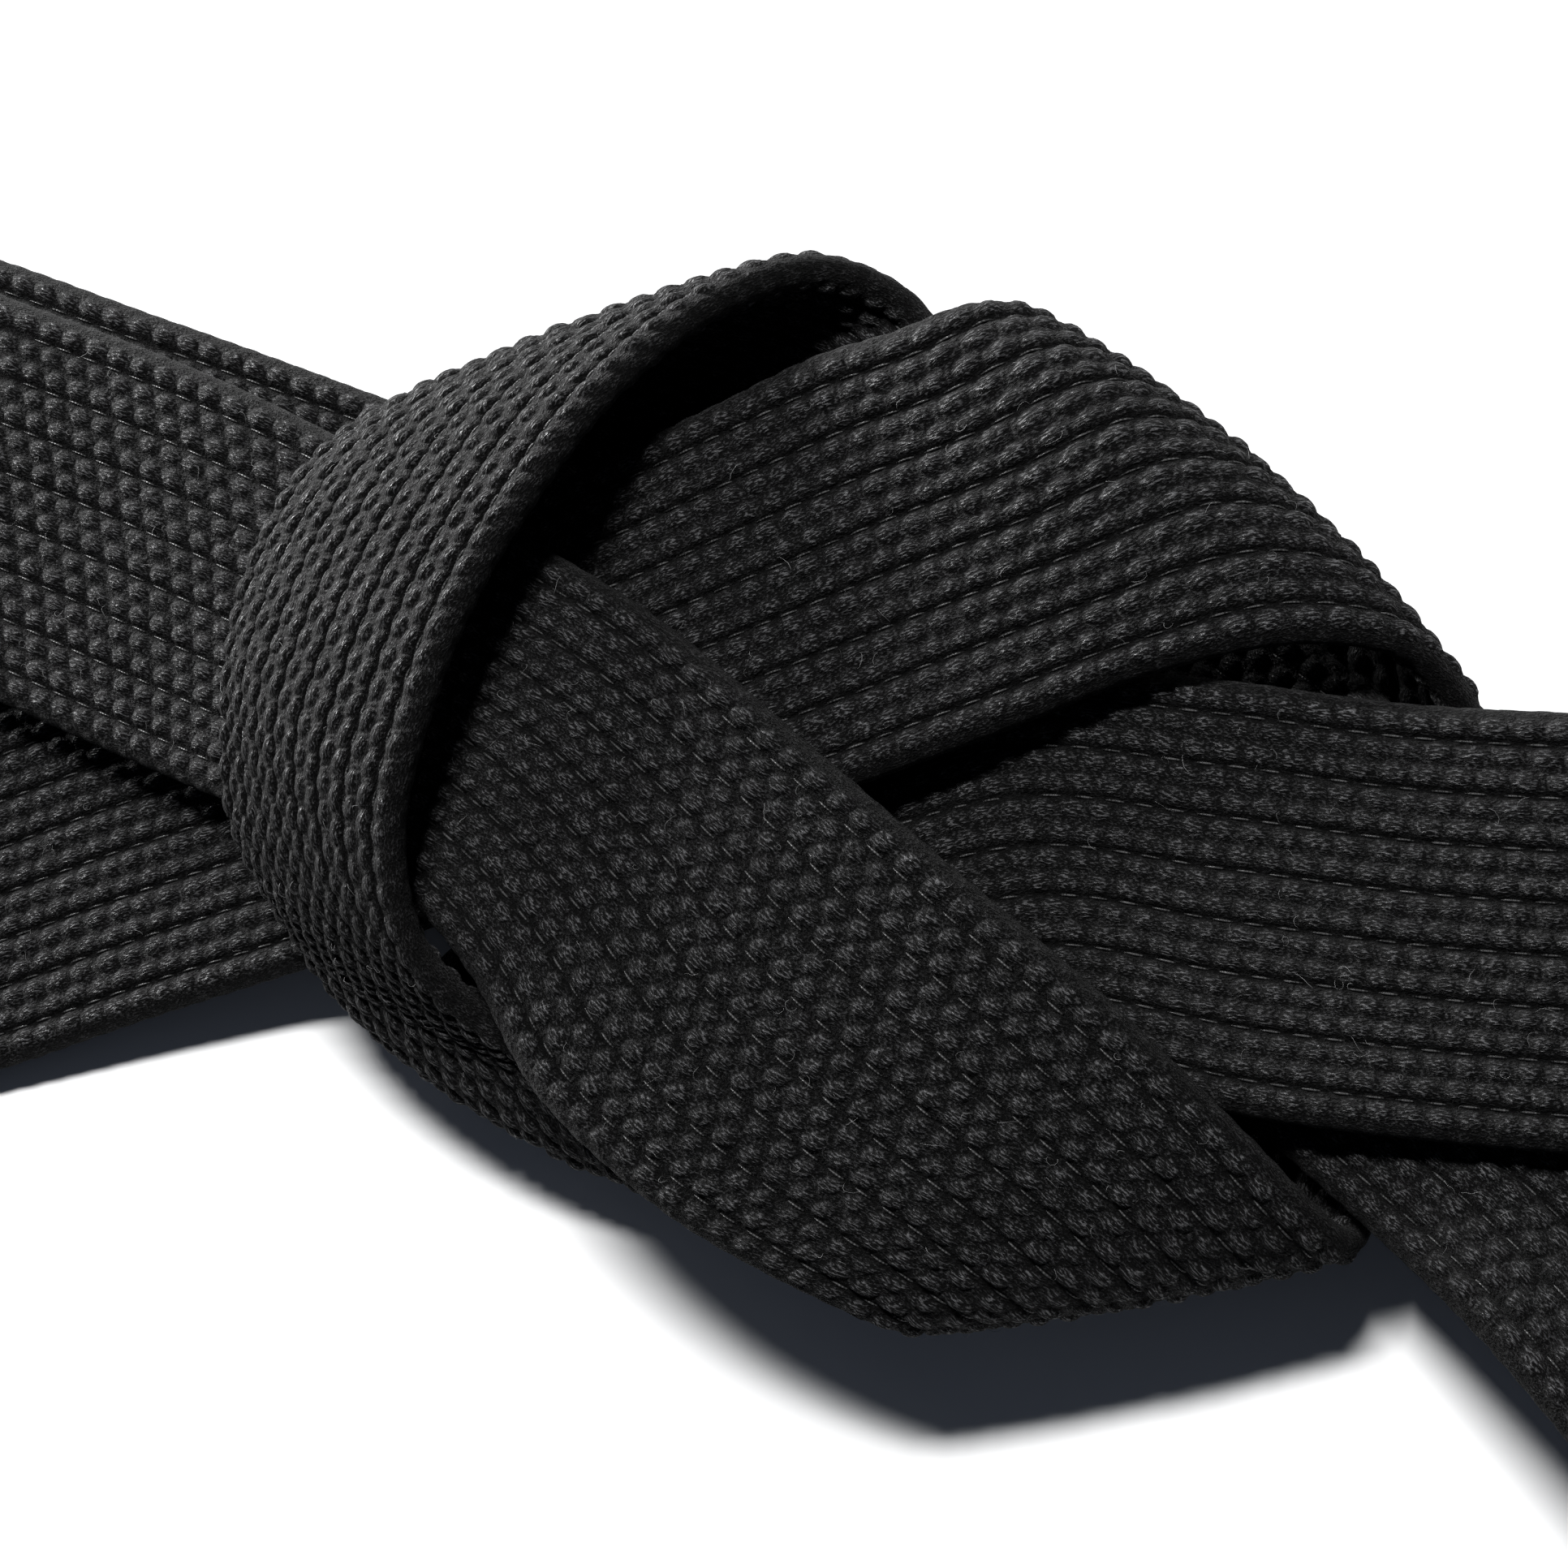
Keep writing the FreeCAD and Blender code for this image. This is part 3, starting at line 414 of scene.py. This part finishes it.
def add_mesh(name, points, faces_by_size, custom_normals=None, uv=None, heights=None):
    """A mesh object from numpy arrays. points and heights are in mm."""
    mesh = bpy.data.meshes.new(name)
    loops = np.concatenate([faces.reshape(-1) for faces in faces_by_size])
    sizes = np.concatenate([np.full(len(f), f.shape[1]) for f in faces_by_size])
    starts = np.concatenate([[0], np.cumsum(sizes)[:-1]])
    mesh.vertices.add(len(points))
    mesh.vertices.foreach_set("co", (points * MM).astype(np.float32).ravel())
    mesh.loops.add(len(loops))
    mesh.loops.foreach_set("vertex_index", loops.astype(np.int32))
    mesh.polygons.add(len(sizes))
    mesh.polygons.foreach_set("loop_start", starts.astype(np.int32))
    mesh.polygons.foreach_set("use_smooth", np.ones(len(sizes), bool))
    if uv is not None:
        layer = mesh.uv_layers.new(name="strap")
        layer.data.foreach_set("uv", uv[loops].astype(np.float32).ravel())
    if heights is not None:
        level = mesh.attributes.new("relief", "FLOAT", "POINT")
        level.data.foreach_set("value", heights.astype(np.float32))
    mesh.update(calc_edges=True)
    mesh.validate()
    if custom_normals is not None:
        mesh.normals_split_custom_set_from_vertices(custom_normals.astype(np.float32))
    obj = bpy.data.objects.new(name, mesh)
    bpy.context.collection.objects.link(obj)
    return obj


def section_ring(across_step):
    """The strap's outline in cross-section: place across, height, outward direction,
    place across as the weave counts it, and which face it belongs to."""
    inner = WIDTH - 2 * EDGE_RADIUS
    flat_count = int(round(inner / across_step))
    turn_count = int(round(math.pi * EDGE_RADIUS / across_step / 2)) * 2
    rows = []
    quarter = math.pi * EDGE_RADIUS / 2
    for side in FACES:
        for step in range(flat_count):
            share = step / flat_count
            across = EDGE_RADIUS + inner * (share if side > 0 else 1 - share)
            rows.append((across, side * CLOTH_HALF, 0.0, side, across, side))
        for step in range(turn_count):
            angle = math.pi * step / turn_count
            sine, cosine = math.sin(angle), math.cos(angle)
            over = min(angle, math.pi - angle) / (math.pi / 2) * quarter
            face = side if angle < math.pi / 2 else -side
            if side > 0:
                across = WIDTH - EDGE_RADIUS + EDGE_RADIUS * sine
                counted = WIDTH - EDGE_RADIUS + over
            else:
                across = EDGE_RADIUS - EDGE_RADIUS * sine
                counted = EDGE_RADIUS - over
            height = side * CLOTH_HALF * cosine
            rows.append((across, height, side * sine, side * cosine, counted, face))
    return np.array(rows)


def edge_window(counted):
    """How much of the weave shows: all of it on the faces, and less at either edge."""
    reach = math.pi * EDGE_RADIUS / 2 - EDGE_RADIUS
    inside = np.minimum(counted + reach, WIDTH + reach - counted)
    return SELVEDGE_SHARE + (1 - SELVEDGE_SHARE) * smooth((inside - reach) / SELVEDGE_FADE)


def strap_grid(places, ring):
    """Points of the strap's skin in mm, with the weave's coordinates and height."""
    shares = ring[:, 0] / WIDTH
    points, normal, across = middle_surface(places, shares)
    along = along_at(places, shares)
    counted = np.broadcast_to(ring[:, 4][None, :], along.shape)
    outer = ring[:, 5][None, :] > 0
    window = edge_window(counted)
    outer_height = relief(along, counted, OUTER_SEED)
    inner_height = relief(along + INNER_SHIFT, counted, INNER_SEED)
    height = np.where(outer, outer_height, inner_height) * window
    from_tip = np.minimum(along, TOTAL_LENGTH - along)
    near = np.clip(from_tip / EDGE_RADIUS, TIP_LEAST, 1)
    thin = np.sqrt(1 - (1 - near) ** 2)
    out = across * ring[None, :, 2, None] + normal * ring[None, :, 3, None]
    body = points + normal * (ring[None, :, 1, None] * thin[..., None])
    return body + out * (height * thin)[..., None], along, counted, height


def split_places(first, last, step):
    """Places between two places, a step in mm apart along the strap's longer edge."""
    ends = np.interp([first, last], ROUTE_PLACES, LONGEST)
    count = max(2, int(math.ceil((ends[1] - ends[0]) / step)))
    return np.interp(np.linspace(ends[0], ends[1], count + 1), LONGEST, ROUTE_PLACES)


def strap_piece(name, first, last, grid, keep_normals):
    """One length of the strap, closed at both ends, and how long it is in mm.

    The normals come from the neighbouring points on the whole strap, so that no line
    shows where two pieces meet. A piece that spans two bodies has none set, since they
    would stay behind if it were bent.
    """
    places = split_places(first, last, grid[0])
    ring = section_ring(grid[1])
    before = max(places[0] - (places[1] - places[0]), 0.0)
    after = min(places[-1] + (places[-1] - places[-2]), len(STATIONS) - 1.0)
    wider = np.concatenate([[before], places, [after]])
    points, along, counted, height = strap_grid(wider, ring)
    around = np.roll(points, -1, axis=1) - np.roll(points, 1, axis=1)
    onward = np.empty_like(points)
    onward[1:-1] = points[2:] - points[:-2]
    normals = unit(np.cross(around, onward))[1:-1]
    points, along = points[1:-1], along[1:-1]
    counted, height = counted[1:-1], height[1:-1]
    rows, columns = points.shape[:2]
    index = np.arange(rows * columns).reshape(rows, columns)
    a = index[:-1]
    b = index[1:]
    quads = np.stack([a, np.roll(a, -1, 1), np.roll(b, -1, 1), b], -1).reshape(-1, 4)
    caps = np.stack([index[0][::-1], index[-1]])
    uv = np.stack([along.ravel() / UV_UNIT, counted.ravel() / UV_UNIT], -1)
    obj = add_mesh(
        name,
        points.reshape(-1, 3),
        [quads, caps],
        normals.reshape(-1, 3) if keep_normals else None,
        uv,
        height.ravel(),
    )
    length = float(along[-1].mean() - along[0].mean())
    return obj, length


def surface_points(along, across, side, lift):
    """Points lifted off the strap's middle surface on one side, with their normals."""
    share = across / WIDTH
    table = ALONG_FIRST + (ALONG_SECOND - ALONG_FIRST) * share
    places = np.interp(along, table, ROUTE_PLACES)
    points, normal, _ = middle_surface(places, np.array([share]))
    normal = normal[:, 0] * side
    return points[:, 0] + normal * lift[:, None], normal


def tubes(paths, normals, radii, sides):
    """Thin round tubes along many short paths at once. paths is tubes by points by 3."""
    count, steps = paths.shape[:2]
    tangent = unit(np.gradient(paths, axis=1))
    side = unit(np.cross(tangent, normals))
    up = np.cross(side, tangent)
    angle = np.arange(sides) * 2 * math.pi / sides
    offset = side[:, :, None] * np.cos(angle)[None, None, :, None]
    offset = offset + up[:, :, None] * np.sin(angle)[None, None, :, None]
    points = paths[:, :, None] + offset * radii[..., None, None]
    index = np.arange(count * steps * sides).reshape(count, steps, sides)
    a, b = index[:, :-1], index[:, 1:]
    quads = np.stack([a, np.roll(a, -1, 2), np.roll(b, -1, 2), b], -1).reshape(-1, 4)
    caps = np.concatenate([index[:, 0, ::-1], index[:, -1]])
    return points.reshape(-1, 3), [quads, caps]


def thread_mesh(name, paths, ups, uv=None):
    """One tube of thread for each path."""
    radii = np.broadcast_to(THREAD_RADIUS * THREAD_TAPER, paths.shape[:2])
    points, faces_by_size = tubes(paths, ups, radii, THREAD_SIDES)
    return add_mesh(name, points, faces_by_size, uv=uv)


def stitches_between(name, first, last):
    """The thread that shows in the channels, stitch by stitch."""
    paths, ups, marks = [], [], []
    steps = THREAD_STEPS
    for side in FACES:
        for row in range(ROW_COUNT):
            across = FIRST_ROW + ROW_STEP * row
            start, end = along_at(np.array([first, last]), np.array([across / WIDTH]))[:, 0]
            start = max(start, SEAM_INSET + SEAM_CLEARANCE)
            end = min(end, TOTAL_LENGTH - SEAM_INSET - SEAM_CLEARANCE)
            numbers = np.arange(math.ceil(start / STITCH_PITCH), math.floor(end / STITCH_PITCH))
            shift = scatter(np.array([row * 1.0]), np.array([side * 1.0]), 3.0)[0]
            wobble = (scatter(numbers, numbers * 0 + row, 8.0 + side) - 0.5) * STITCH_WOBBLE
            centres = (numbers + 0.5 + STITCH_SHIFT * shift) * STITCH_PITCH + wobble
            along = (centres[:, None] + steps[None, :] * STITCH_LENGTH).ravel()
            arch = np.tile(1 - (2 * steps) ** 2, len(numbers))
            lift = CLOTH_HALF - STITCH_SINK + STITCH_ARCH * arch
            points, normal = surface_points(along, across, side, lift)
            paths.append(points.reshape(-1, len(steps), 3))
            ups.append(normal.reshape(-1, len(steps), 3))
            marks.append(np.stack([along, np.full(len(along), across)], -1))
    uv = np.repeat(np.concatenate(marks) / UV_UNIT, THREAD_SIDES, axis=0)
    return thread_mesh(name, np.concatenate(paths), np.concatenate(ups), uv)


def seam_stitches(name, along_seam):
    """The seam across a tip, on both faces."""
    paths, ups = [], []
    for side in FACES:
        for across in np.arange(*SEAM_ENDS, STITCH_PITCH):
            points, normals = [], []
            for step in THREAD_STEPS:
                lift = np.array([CLOTH_HALF - SEAM_SINK + SEAM_ARCH * (1 - (2 * step) ** 2)])
                place = across + step * STITCH_LENGTH
                point, normal = surface_points(np.array([along_seam]), place, side, lift)
                points.append(point[0])
                normals.append(normal[0])
            paths.append(points)
            ups.append(normals)
    return thread_mesh(name, np.array(paths), np.array(ups))


def lint_fibres(name, first, last, count, seed):
    """Loose curly fibres that stand off the cloth."""
    random = np.random.default_rng(seed)
    paths, ups = [], []
    for _ in range(count):
        across = random.uniform(LINT_MARGIN, WIDTH - LINT_MARGIN)
        side = 1 if random.random() < 0.5 else -1
        start, end = along_at(np.array([first, last]), np.array([across / WIDTH]))[:, 0]
        along = random.uniform(start + LINT_END_MARGIN, end - LINT_END_MARGIN)
        heading = random.uniform(0, 2 * math.pi)
        curl = random.normal(0, LINT_CURL)
        stride = random.uniform(*LINT_STRIDE)
        rise = random.uniform(*LINT_RISE)
        points, normals = [], []
        for step in range(LINT_STEPS):
            arch = math.sin(math.pi * (step / (LINT_STEPS - 1)))
            lift = CLOTH_HALF + LINT_LIFT + rise * arch * random.uniform(*LINT_RISE_LUCK)
            spot = min(max(across, LINT_EDGE), WIDTH - LINT_EDGE)
            point, normal = surface_points(np.array([along]), spot, side, np.array([lift]))
            points.append(point[0])
            normals.append(normal[0])
            along += stride * math.cos(heading)
            across += stride * math.sin(heading)
            heading += curl + random.normal(0, LINT_WANDER)
        paths.append(points)
        ups.append(normals)
    paths, ups = np.array(paths), np.array(ups)
    taper = np.linspace(1.0, LINT_TAPER, LINT_STEPS)
    thickness = random.uniform(*LINT_RADIUS_LUCK, len(paths))
    radii = LINT_RADIUS * taper[None, :] * thickness[:, None]
    points, faces_by_size = tubes(paths, ups, radii, LINT_SIDES)
    return add_mesh(name, points, faces_by_size)


# ---------------------------------------------------------------- materials

# Sockets of the Mix node when it mixes colours.
MIX_SHARE, MIX_FIRST, MIX_SECOND, MIX_RESULT = 0, 6, 7, 2


class Nodes:
    """Short calls for wiring a material's nodes."""

    def __init__(self, name):
        self.material = bpy.data.materials.new(name)
        self.material.use_nodes = True
        self.tree = self.material.node_tree
        self.shader = self.tree.nodes["Principled BSDF"]

    def add(self, kind, inputs=None, **settings):
        node = self.tree.nodes.new(kind)
        for key, value in settings.items():
            setattr(node, key, value)
        for key, value in (inputs or {}).items():
            self.put(node.inputs[key], value)
        return node

    def put(self, socket, value):
        if isinstance(value, bpy.types.NodeSocket):
            self.tree.links.new(value, socket)
        else:
            socket.default_value = value

    def set(self, name, value):
        self.put(self.shader.inputs[name], value)

    def multiply(self, first, second):
        node = self.add("ShaderNodeMath", {0: first, 1: second}, operation="MULTIPLY")
        return node.outputs[0]

    def bump(self, height, strength, distance):
        inputs = {"Height": height, "Strength": strength, "Distance": distance}
        self.set("Normal", self.add("ShaderNodeBump", inputs).outputs[0])

    def strap_in_mm(self):
        """The strap's texture coordinates: mm along it and mm across it."""
        uv = self.add("ShaderNodeUVMap", uv_map="strap").outputs[0]
        inputs = {"Vector": uv, "Scale": (UV_UNIT, UV_UNIT, UV_UNIT)}
        return self.add("ShaderNodeMapping", inputs).outputs[0]

    def position(self):
        return self.add("ShaderNodeNewGeometry").outputs["Position"]

    def noise(self, vector, scale, detail, roughness=0.5):
        inputs = {"Vector": vector, "Scale": scale, "Detail": detail, "Roughness": roughness}
        return self.add("ShaderNodeTexNoise", inputs).outputs["Fac"]

    def remap(self, value, low, high, to_low=0, to_high=1):
        inputs = {"Value": value, "From Min": low, "From Max": high}
        inputs.update({"To Min": to_low, "To Max": to_high})
        return self.add("ShaderNodeMapRange", inputs, clamp=True).outputs[0]

    def mix(self, share, first, second):
        node = self.add("ShaderNodeMix", data_type="RGBA")
        self.put(node.inputs[MIX_SHARE], share)
        self.put(node.inputs[MIX_FIRST], first)
        self.put(node.inputs[MIX_SECOND], second)
        return node.outputs[MIX_RESULT]


def grey(value, blue=1.0):
    return (value, value, value * blue, 1.0)


# Fibres of the yarn: their turn against the strap, in degrees, and how fine their pattern is
# along and across them. The raised yarns are twisted one way, and the ground lies both ways.
YARN_FIBRES = (36, 1.5, 5.2)
GROUND_FIBRES = ((-50, 1.9, 4.4), (20, 1.9, 4.4))

# The relief, in mm, that divides ground from raised yarn, and the part of the pattern that
# is painted as a glint: the fibre strands are the cloth's own texture, their brightness a
# painted highlight.
YARN_FOOT = (0.15, 0.4)
PAINTED_GLINT_PART = (0.5, 0.63)
DARK_FIBRE = grey(0.0015)
# colour of the painted glints on the fibres
PAINTED_GLINT_FIBRE = grey(0.05, 1.03)
DULL, GLOSSY = 0.9, 0.42

# Painted shade and light: the pits between the yarns are painted darker and the yarn tops
# lighter, as light falls on the weave: relief in mm, and brightness.
PAINTED_PIT_SHADE = (0.04, 0.5, 0.12, 1.75)
WEAR = (0.35, 0.75, 0.8, 1.25)


def cloth_material():
    n = Nodes("black_woven_cotton")
    in_mm = n.strap_in_mm()

    def fibres(turn, along, across):
        inputs = {"Vector": in_mm, "Rotation": (0, 0, math.radians(turn))}
        inputs["Scale"] = (along, across, 1)
        return n.noise(n.add("ShaderNodeMapping", inputs).outputs[0], 1.0, 2.0, 0.65)

    level = n.add("ShaderNodeAttribute", attribute_name="relief").outputs["Fac"]
    either = n.remap(n.noise(in_mm, 1.4, 1.0), 0.47, 0.53)
    ground = n.mix(either, fibres(*GROUND_FIBRES[0]), fibres(*GROUND_FIBRES[1]))
    pattern = n.mix(n.remap(level, *YARN_FOOT), ground, fibres(*YARN_FIBRES))
    pattern = n.add("ShaderNodeRGBToBW", {"Color": pattern}).outputs[0]
    # painted glints: the brightest fibre strands stand in for the fibres' highlights
    painted_glint_mask = n.remap(pattern, *PAINTED_GLINT_PART)
    worn = n.remap(n.noise(in_mm, 0.16, 3.0, 0.6), *WEAR)
    # painted shade in the pits and painted light on the yarn tops, times the random wear
    painted_shade_and_wear = n.multiply(n.remap(level, *PAINTED_PIT_SHADE), worn)
    base = n.mix(painted_glint_mask, DARK_FIBRE, PAINTED_GLINT_FIBRE)
    tinted = n.add("ShaderNodeVectorMath", {0: base, "Scale": painted_shade_and_wear}, operation="SCALE")
    n.set("Base Color", tinted.outputs[0])
    n.set("Roughness", n.remap(n.multiply(painted_glint_mask, painted_shade_and_wear), 0, 1, DULL, GLOSSY))
    n.set("Specular IOR Level", 0.1)
    n.set("Sheen Weight", 0.02)
    n.set("Sheen Roughness", 0.4)
    n.bump(pattern, 1.0, 0.0006)
    return n.material


def thread_material():
    n = Nodes("black_sewing_thread")
    inputs = {"Vector": n.strap_in_mm(), "Scale": 0.9, "Distortion": 0.6}
    twist = n.add("ShaderNodeTexWave", inputs).outputs["Fac"]
    wear = n.noise(n.position(), 900.0, 2.0, 0.6)
    n.set("Base Color", n.mix(n.remap(wear, 0.35, 0.7), grey(0.008), grey(0.05)))
    n.set("Roughness", 0.45)
    n.set("Specular IOR Level", 0.25)
    n.bump(twist, 0.5, 0.0001)
    return n.material


def lint_material():
    n = Nodes("cotton_lint")
    change = n.noise(n.position(), 300.0, 2.0, 0.6)
    n.set("Base Color", n.mix(n.remap(change, 0.35, 0.65), grey(0.06), grey(0.35)))
    n.set("Roughness", 0.6)
    return n.material


def floor_material():
    n = Nodes("white_surface")
    change = n.noise(n.position(), 40.0, 3.0, 0.6)
    n.set("Base Color", n.mix(n.remap(change, 0.3, 0.7), grey(0.86), grey(0.9)))
    n.set("Roughness", 0.8)
    n.set("Specular IOR Level", 0.1)
    return n.material


CLOTH = cloth_material()
THREAD = thread_material()
LINT = lint_material()


# ---------------------------------------------------------------- pieces

KNOT_BODY = "waist_loop_and_knot"
PLIES = ("inner_ply", "middle_ply", "outer_ply")

# How far before and after a joint, in mm, bind takes two points on the strap, which it does not
# use.
BEND_REACH = 13.0


def cad_cloth(body):
    """The CAD nodes that one length of visible cloth stands for."""
    return [f"{body}_cover"] + [f"{body}_{ply}" for ply in PLIES]


def point_at(place):
    """The middle of the strap at a place, in metres."""
    points, _, _ = middle_surface(np.array([place]), np.array([0.5]))
    return points[0, 0] * MM


def bind(obj, bodies, bend):
    """The piece rides on one body; a piece between two bodies has its placement baked into its
    mesh instead.
    """
    if len(bodies) == 1:
        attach(obj, bodies[0])
        return
    start = point_at(place_near(bend, -BEND_REACH))
    end = point_at(place_near(bend, BEND_REACH))
    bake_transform(obj)


TAIL_MIDDLE_LEFT = place_of("left_tail_2")
TAIL_MIDDLE_RIGHT = place_near("right_tail_1", 8.0)

# Name, first and last place, mesh grid, bodies, station between its two bodies, how it lies.
RUNS = [
    ("left_tail_end", place_of("left_tip"), TAIL_MIDDLE_LEFT, COARSE,
     ("left_tail_end", "left_tail_near"), "left_tail_bend", "laid"),
    ("left_tail_near", TAIL_MIDDLE_LEFT, place_of("left_rise_1"), COARSE,
     ("left_tail_near", KNOT_BODY), "left_tail_root", "laid"),
    ("knot_upper_band", place_of("left_rise_1"), place_of("top_fold_5"), FINE,
     (KNOT_BODY,), None, "folded"),
    ("knot_under_band", place_of("top_fold_5"), place_of("under_band_4"), COARSE,
     (KNOT_BODY,), None, "folded"),
    ("knot_lower_band", place_of("under_band_4"), place_of("left_front_4"), FINE,
     (KNOT_BODY,), None, "folded"),
    ("waist_loop_left", place_of("left_front_4"), place_of("back_run_4"), COARSE,
     (KNOT_BODY,), None, "folded"),
    ("waist_loop_back_left", place_of("back_run_4"), place_of("back_run_6"), FINE,
     (KNOT_BODY,), None, "laid"),
    ("waist_loop_right", place_of("back_run_6"), place_of("right_front_4"), COARSE,
     (KNOT_BODY,), None, "folded"),
    ("waist_loop_front_right", place_of("right_front_4"), place_of("right_front_7"), FINE,
     (KNOT_BODY,), None, "laid"),
    ("knot_inner_leg", place_of("right_front_7"), place_of("tuck_2"), COARSE,
     (KNOT_BODY,), None, "folded"),
    ("knot_collar", place_of("tuck_2"), place_of("collar_14"), FINE,
     (KNOT_BODY,), None, "folded"),
    ("knot_inner_band", place_of("collar_14"), place_of("right_inner_4"), COARSE,
     (KNOT_BODY,), None, "folded"),
    ("knot_lower_right", place_of("right_inner_4"), place_of("right_lower_3"), FINE,
     (KNOT_BODY,), None, "laid"),
    ("right_tail_near", place_of("right_lower_3"), TAIL_MIDDLE_RIGHT, COARSE,
     (KNOT_BODY, "right_tail_near"), "right_tail_root", "laid"),
    ("right_tail_end", TAIL_MIDDLE_RIGHT, place_of("right_tip"), COARSE,
     ("right_tail_near", "right_tail_end"), "right_tail_bend", "laid"),
]


def build_run(name, first, last, grid, bodies, bend, held):
    """A run of strap as one piece or several, with the thread that is sewn through it."""
    ends = np.interp([first, last], ROUTE_PLACES, LONGEST)
    quads = (ends[1] - ends[0]) / grid[0] * len(section_ring(grid[1]))
    count = 1 if bend else int(math.ceil(quads / MOST_QUADS))
    cuts = np.interp(np.linspace(ends[0], ends[1], count + 1), LONGEST, ROUTE_PLACES)
    cuts[0], cuts[-1] = first, last
    body = bodies[0] if len(bodies) == 1 else name
    threads = stitches_between(f"{name}_stitching", first, last)
    threads.data.materials.append(THREAD)
    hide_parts(f"{body}_stitching")
    bind(threads, bodies, bend)
    for number in range(count):
        label = f"{name}_strap" if count == 1 else f"{name}_strap_{number + 1}"
        obj, length = strap_piece(label, cuts[number], cuts[number + 1], grid, not bend)
        obj.data.materials.append(CLOTH)
        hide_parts(*cad_cloth(body))
        bind(obj, bodies, bend)


for run in RUNS:
    build_run(*run)

for side, along_seam in (("left", SEAM_INSET), ("right", TOTAL_LENGTH - SEAM_INSET)):
    seam = seam_stitches(f"{side}_tip_seam_stitches", along_seam)
    seam.data.materials.append(THREAD)
    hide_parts(f"{side}_tip_seam", f"{side}_tip_tuck")
    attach(seam, f"{side}_tail_end")

# First and last station, and number of fibres.
LINT_RUNS = (
    ("left_rise_1", "top_fold_4", 300),
    ("bottom_fold_1", "left_front_4", 420),
    ("right_front_4", "right_front_7", 150),
    ("collar_1", "collar_13", 200),
    ("right_lower_1", "right_lower_3", 90),
)
for number, (first_name, last_name, count) in enumerate(LINT_RUNS):
    ends = place_of(first_name), place_of(last_name)
    lint = lint_fibres(f"lint_{number + 1}", *ends, count, LINT_SEED + number)
    lint.data.materials.append(LINT)
    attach(lint, KNOT_BODY)


# ---------------------------------------------------------------- floor, light, camera

FLOOR_REACH = 2500.0


def add_floor():
    corners = np.array([[-1, -1, 0], [1, -1, 0], [1, 1, 0], [-1, 1, 0]]) * FLOOR_REACH
    floor = add_mesh("white_surface", corners, [np.array([[0, 1, 2, 3]])])
    floor.data.materials.append(floor_material())


def aim(obj, position, target):
    """Puts an object at a position and points its -Z at a target, both in mm, +Y up the view."""
    forward = unit(np.array(target) - np.array(position))
    right = unit(np.cross(forward, (0.0, 1.0, 0.0)))
    up = np.cross(right, forward)
    turn = Matrix((right, up, -forward)).transposed()
    obj.matrix_world = Matrix.Translation(Vector(position) * MM) @ turn.to_4x4()


# The lights: where each comes from, and its size in mm or degrees. The key light fits the
# shadow on the floor, and the side light the highlights of the weave.
LIGHT_DISTANCE = 1300.0
KEY_FROM = np.array([0.04, 0.48, 1.0])
KEY_SIZE = (420.0, 150.0)
KEY_POWER = 26.0
SIDE_FROM = np.array([-0.72, 0.64, 0.10])
SIDE_ANGLE = 25.0
SIDE_STRENGTH = 30.0
AMBIENT = (0.030, 0.035, 0.046, 1.0)
BACKDROP = (0.92, 0.92, 0.93, 1.0)


def add_light(name, kind, away, power):
    data = bpy.data.lights.new(name, kind)
    data.energy = power
    light = bpy.data.objects.new(name, data)
    bpy.context.collection.objects.link(light)
    aim(light, tuple(LIGHT_DISTANCE * unit(away)), (0.0, 0.0, 0.0))
    return light


def add_studio():
    key = add_light("studio_key", "AREA", KEY_FROM, KEY_POWER).data
    key.shape = "RECTANGLE"
    key.size, key.size_y = KEY_SIZE[0] * MM, KEY_SIZE[1] * MM
    side = add_light("studio_side_light", "SUN", SIDE_FROM, SIDE_STRENGTH)
    side.data.angle = math.radians(SIDE_ANGLE)
    # the side light is seen in the cloth's highlights and leaves the floor alone
    side.visible_diffuse = False
    world = bpy.data.worlds.new("studio")
    bpy.context.scene.world = world
    world.use_nodes = True
    nodes, links = world.node_tree.nodes, world.node_tree.links
    ambient = nodes["Background"]
    ambient.inputs["Color"].default_value = AMBIENT
    seen = nodes.new("ShaderNodeBackground")
    seen.inputs["Color"].default_value = BACKDROP
    ray = nodes.new("ShaderNodeLightPath")
    mix = nodes.new("ShaderNodeMixShader")
    links.new(ray.outputs["Is Camera Ray"], mix.inputs[0])
    links.new(ambient.outputs[0], mix.inputs[1])
    links.new(seen.outputs[0], mix.inputs[2])
    links.new(mix.outputs[0], nodes["World Output"].inputs["Surface"])


# The camera looks down at the knot, a little from its right and its lower side.
CAMERA_TARGET = np.array([-2.8, -3.5, 12.0])
CAMERA_DISTANCE = 420.0
CAMERA_SIDE_ANGLE = 18.0
CAMERA_LOWER_ANGLE = 10.0
CAMERA_FIELD = 20.87
CAMERA_CLIP = (0.01, 20.0)


def add_camera():
    data = bpy.data.cameras.new("camera")
    data.sensor_fit = "HORIZONTAL"
    data.angle = math.radians(CAMERA_FIELD)
    data.clip_start, data.clip_end = CAMERA_CLIP
    camera = bpy.data.objects.new("camera", data)
    bpy.context.collection.objects.link(camera)
    away = unit(np.array([
        math.tan(math.radians(CAMERA_SIDE_ANGLE)),
        -math.tan(math.radians(CAMERA_LOWER_ANGLE)),
        1.0,
    ]))
    aim(camera, tuple(CAMERA_TARGET + CAMERA_DISTANCE * away), tuple(CAMERA_TARGET))
    bpy.context.scene.camera = camera


add_floor()
add_studio()
add_camera()
bpy.context.scene.view_settings.view_transform = "Standard"
bpy.context.scene.view_settings.look = "None"
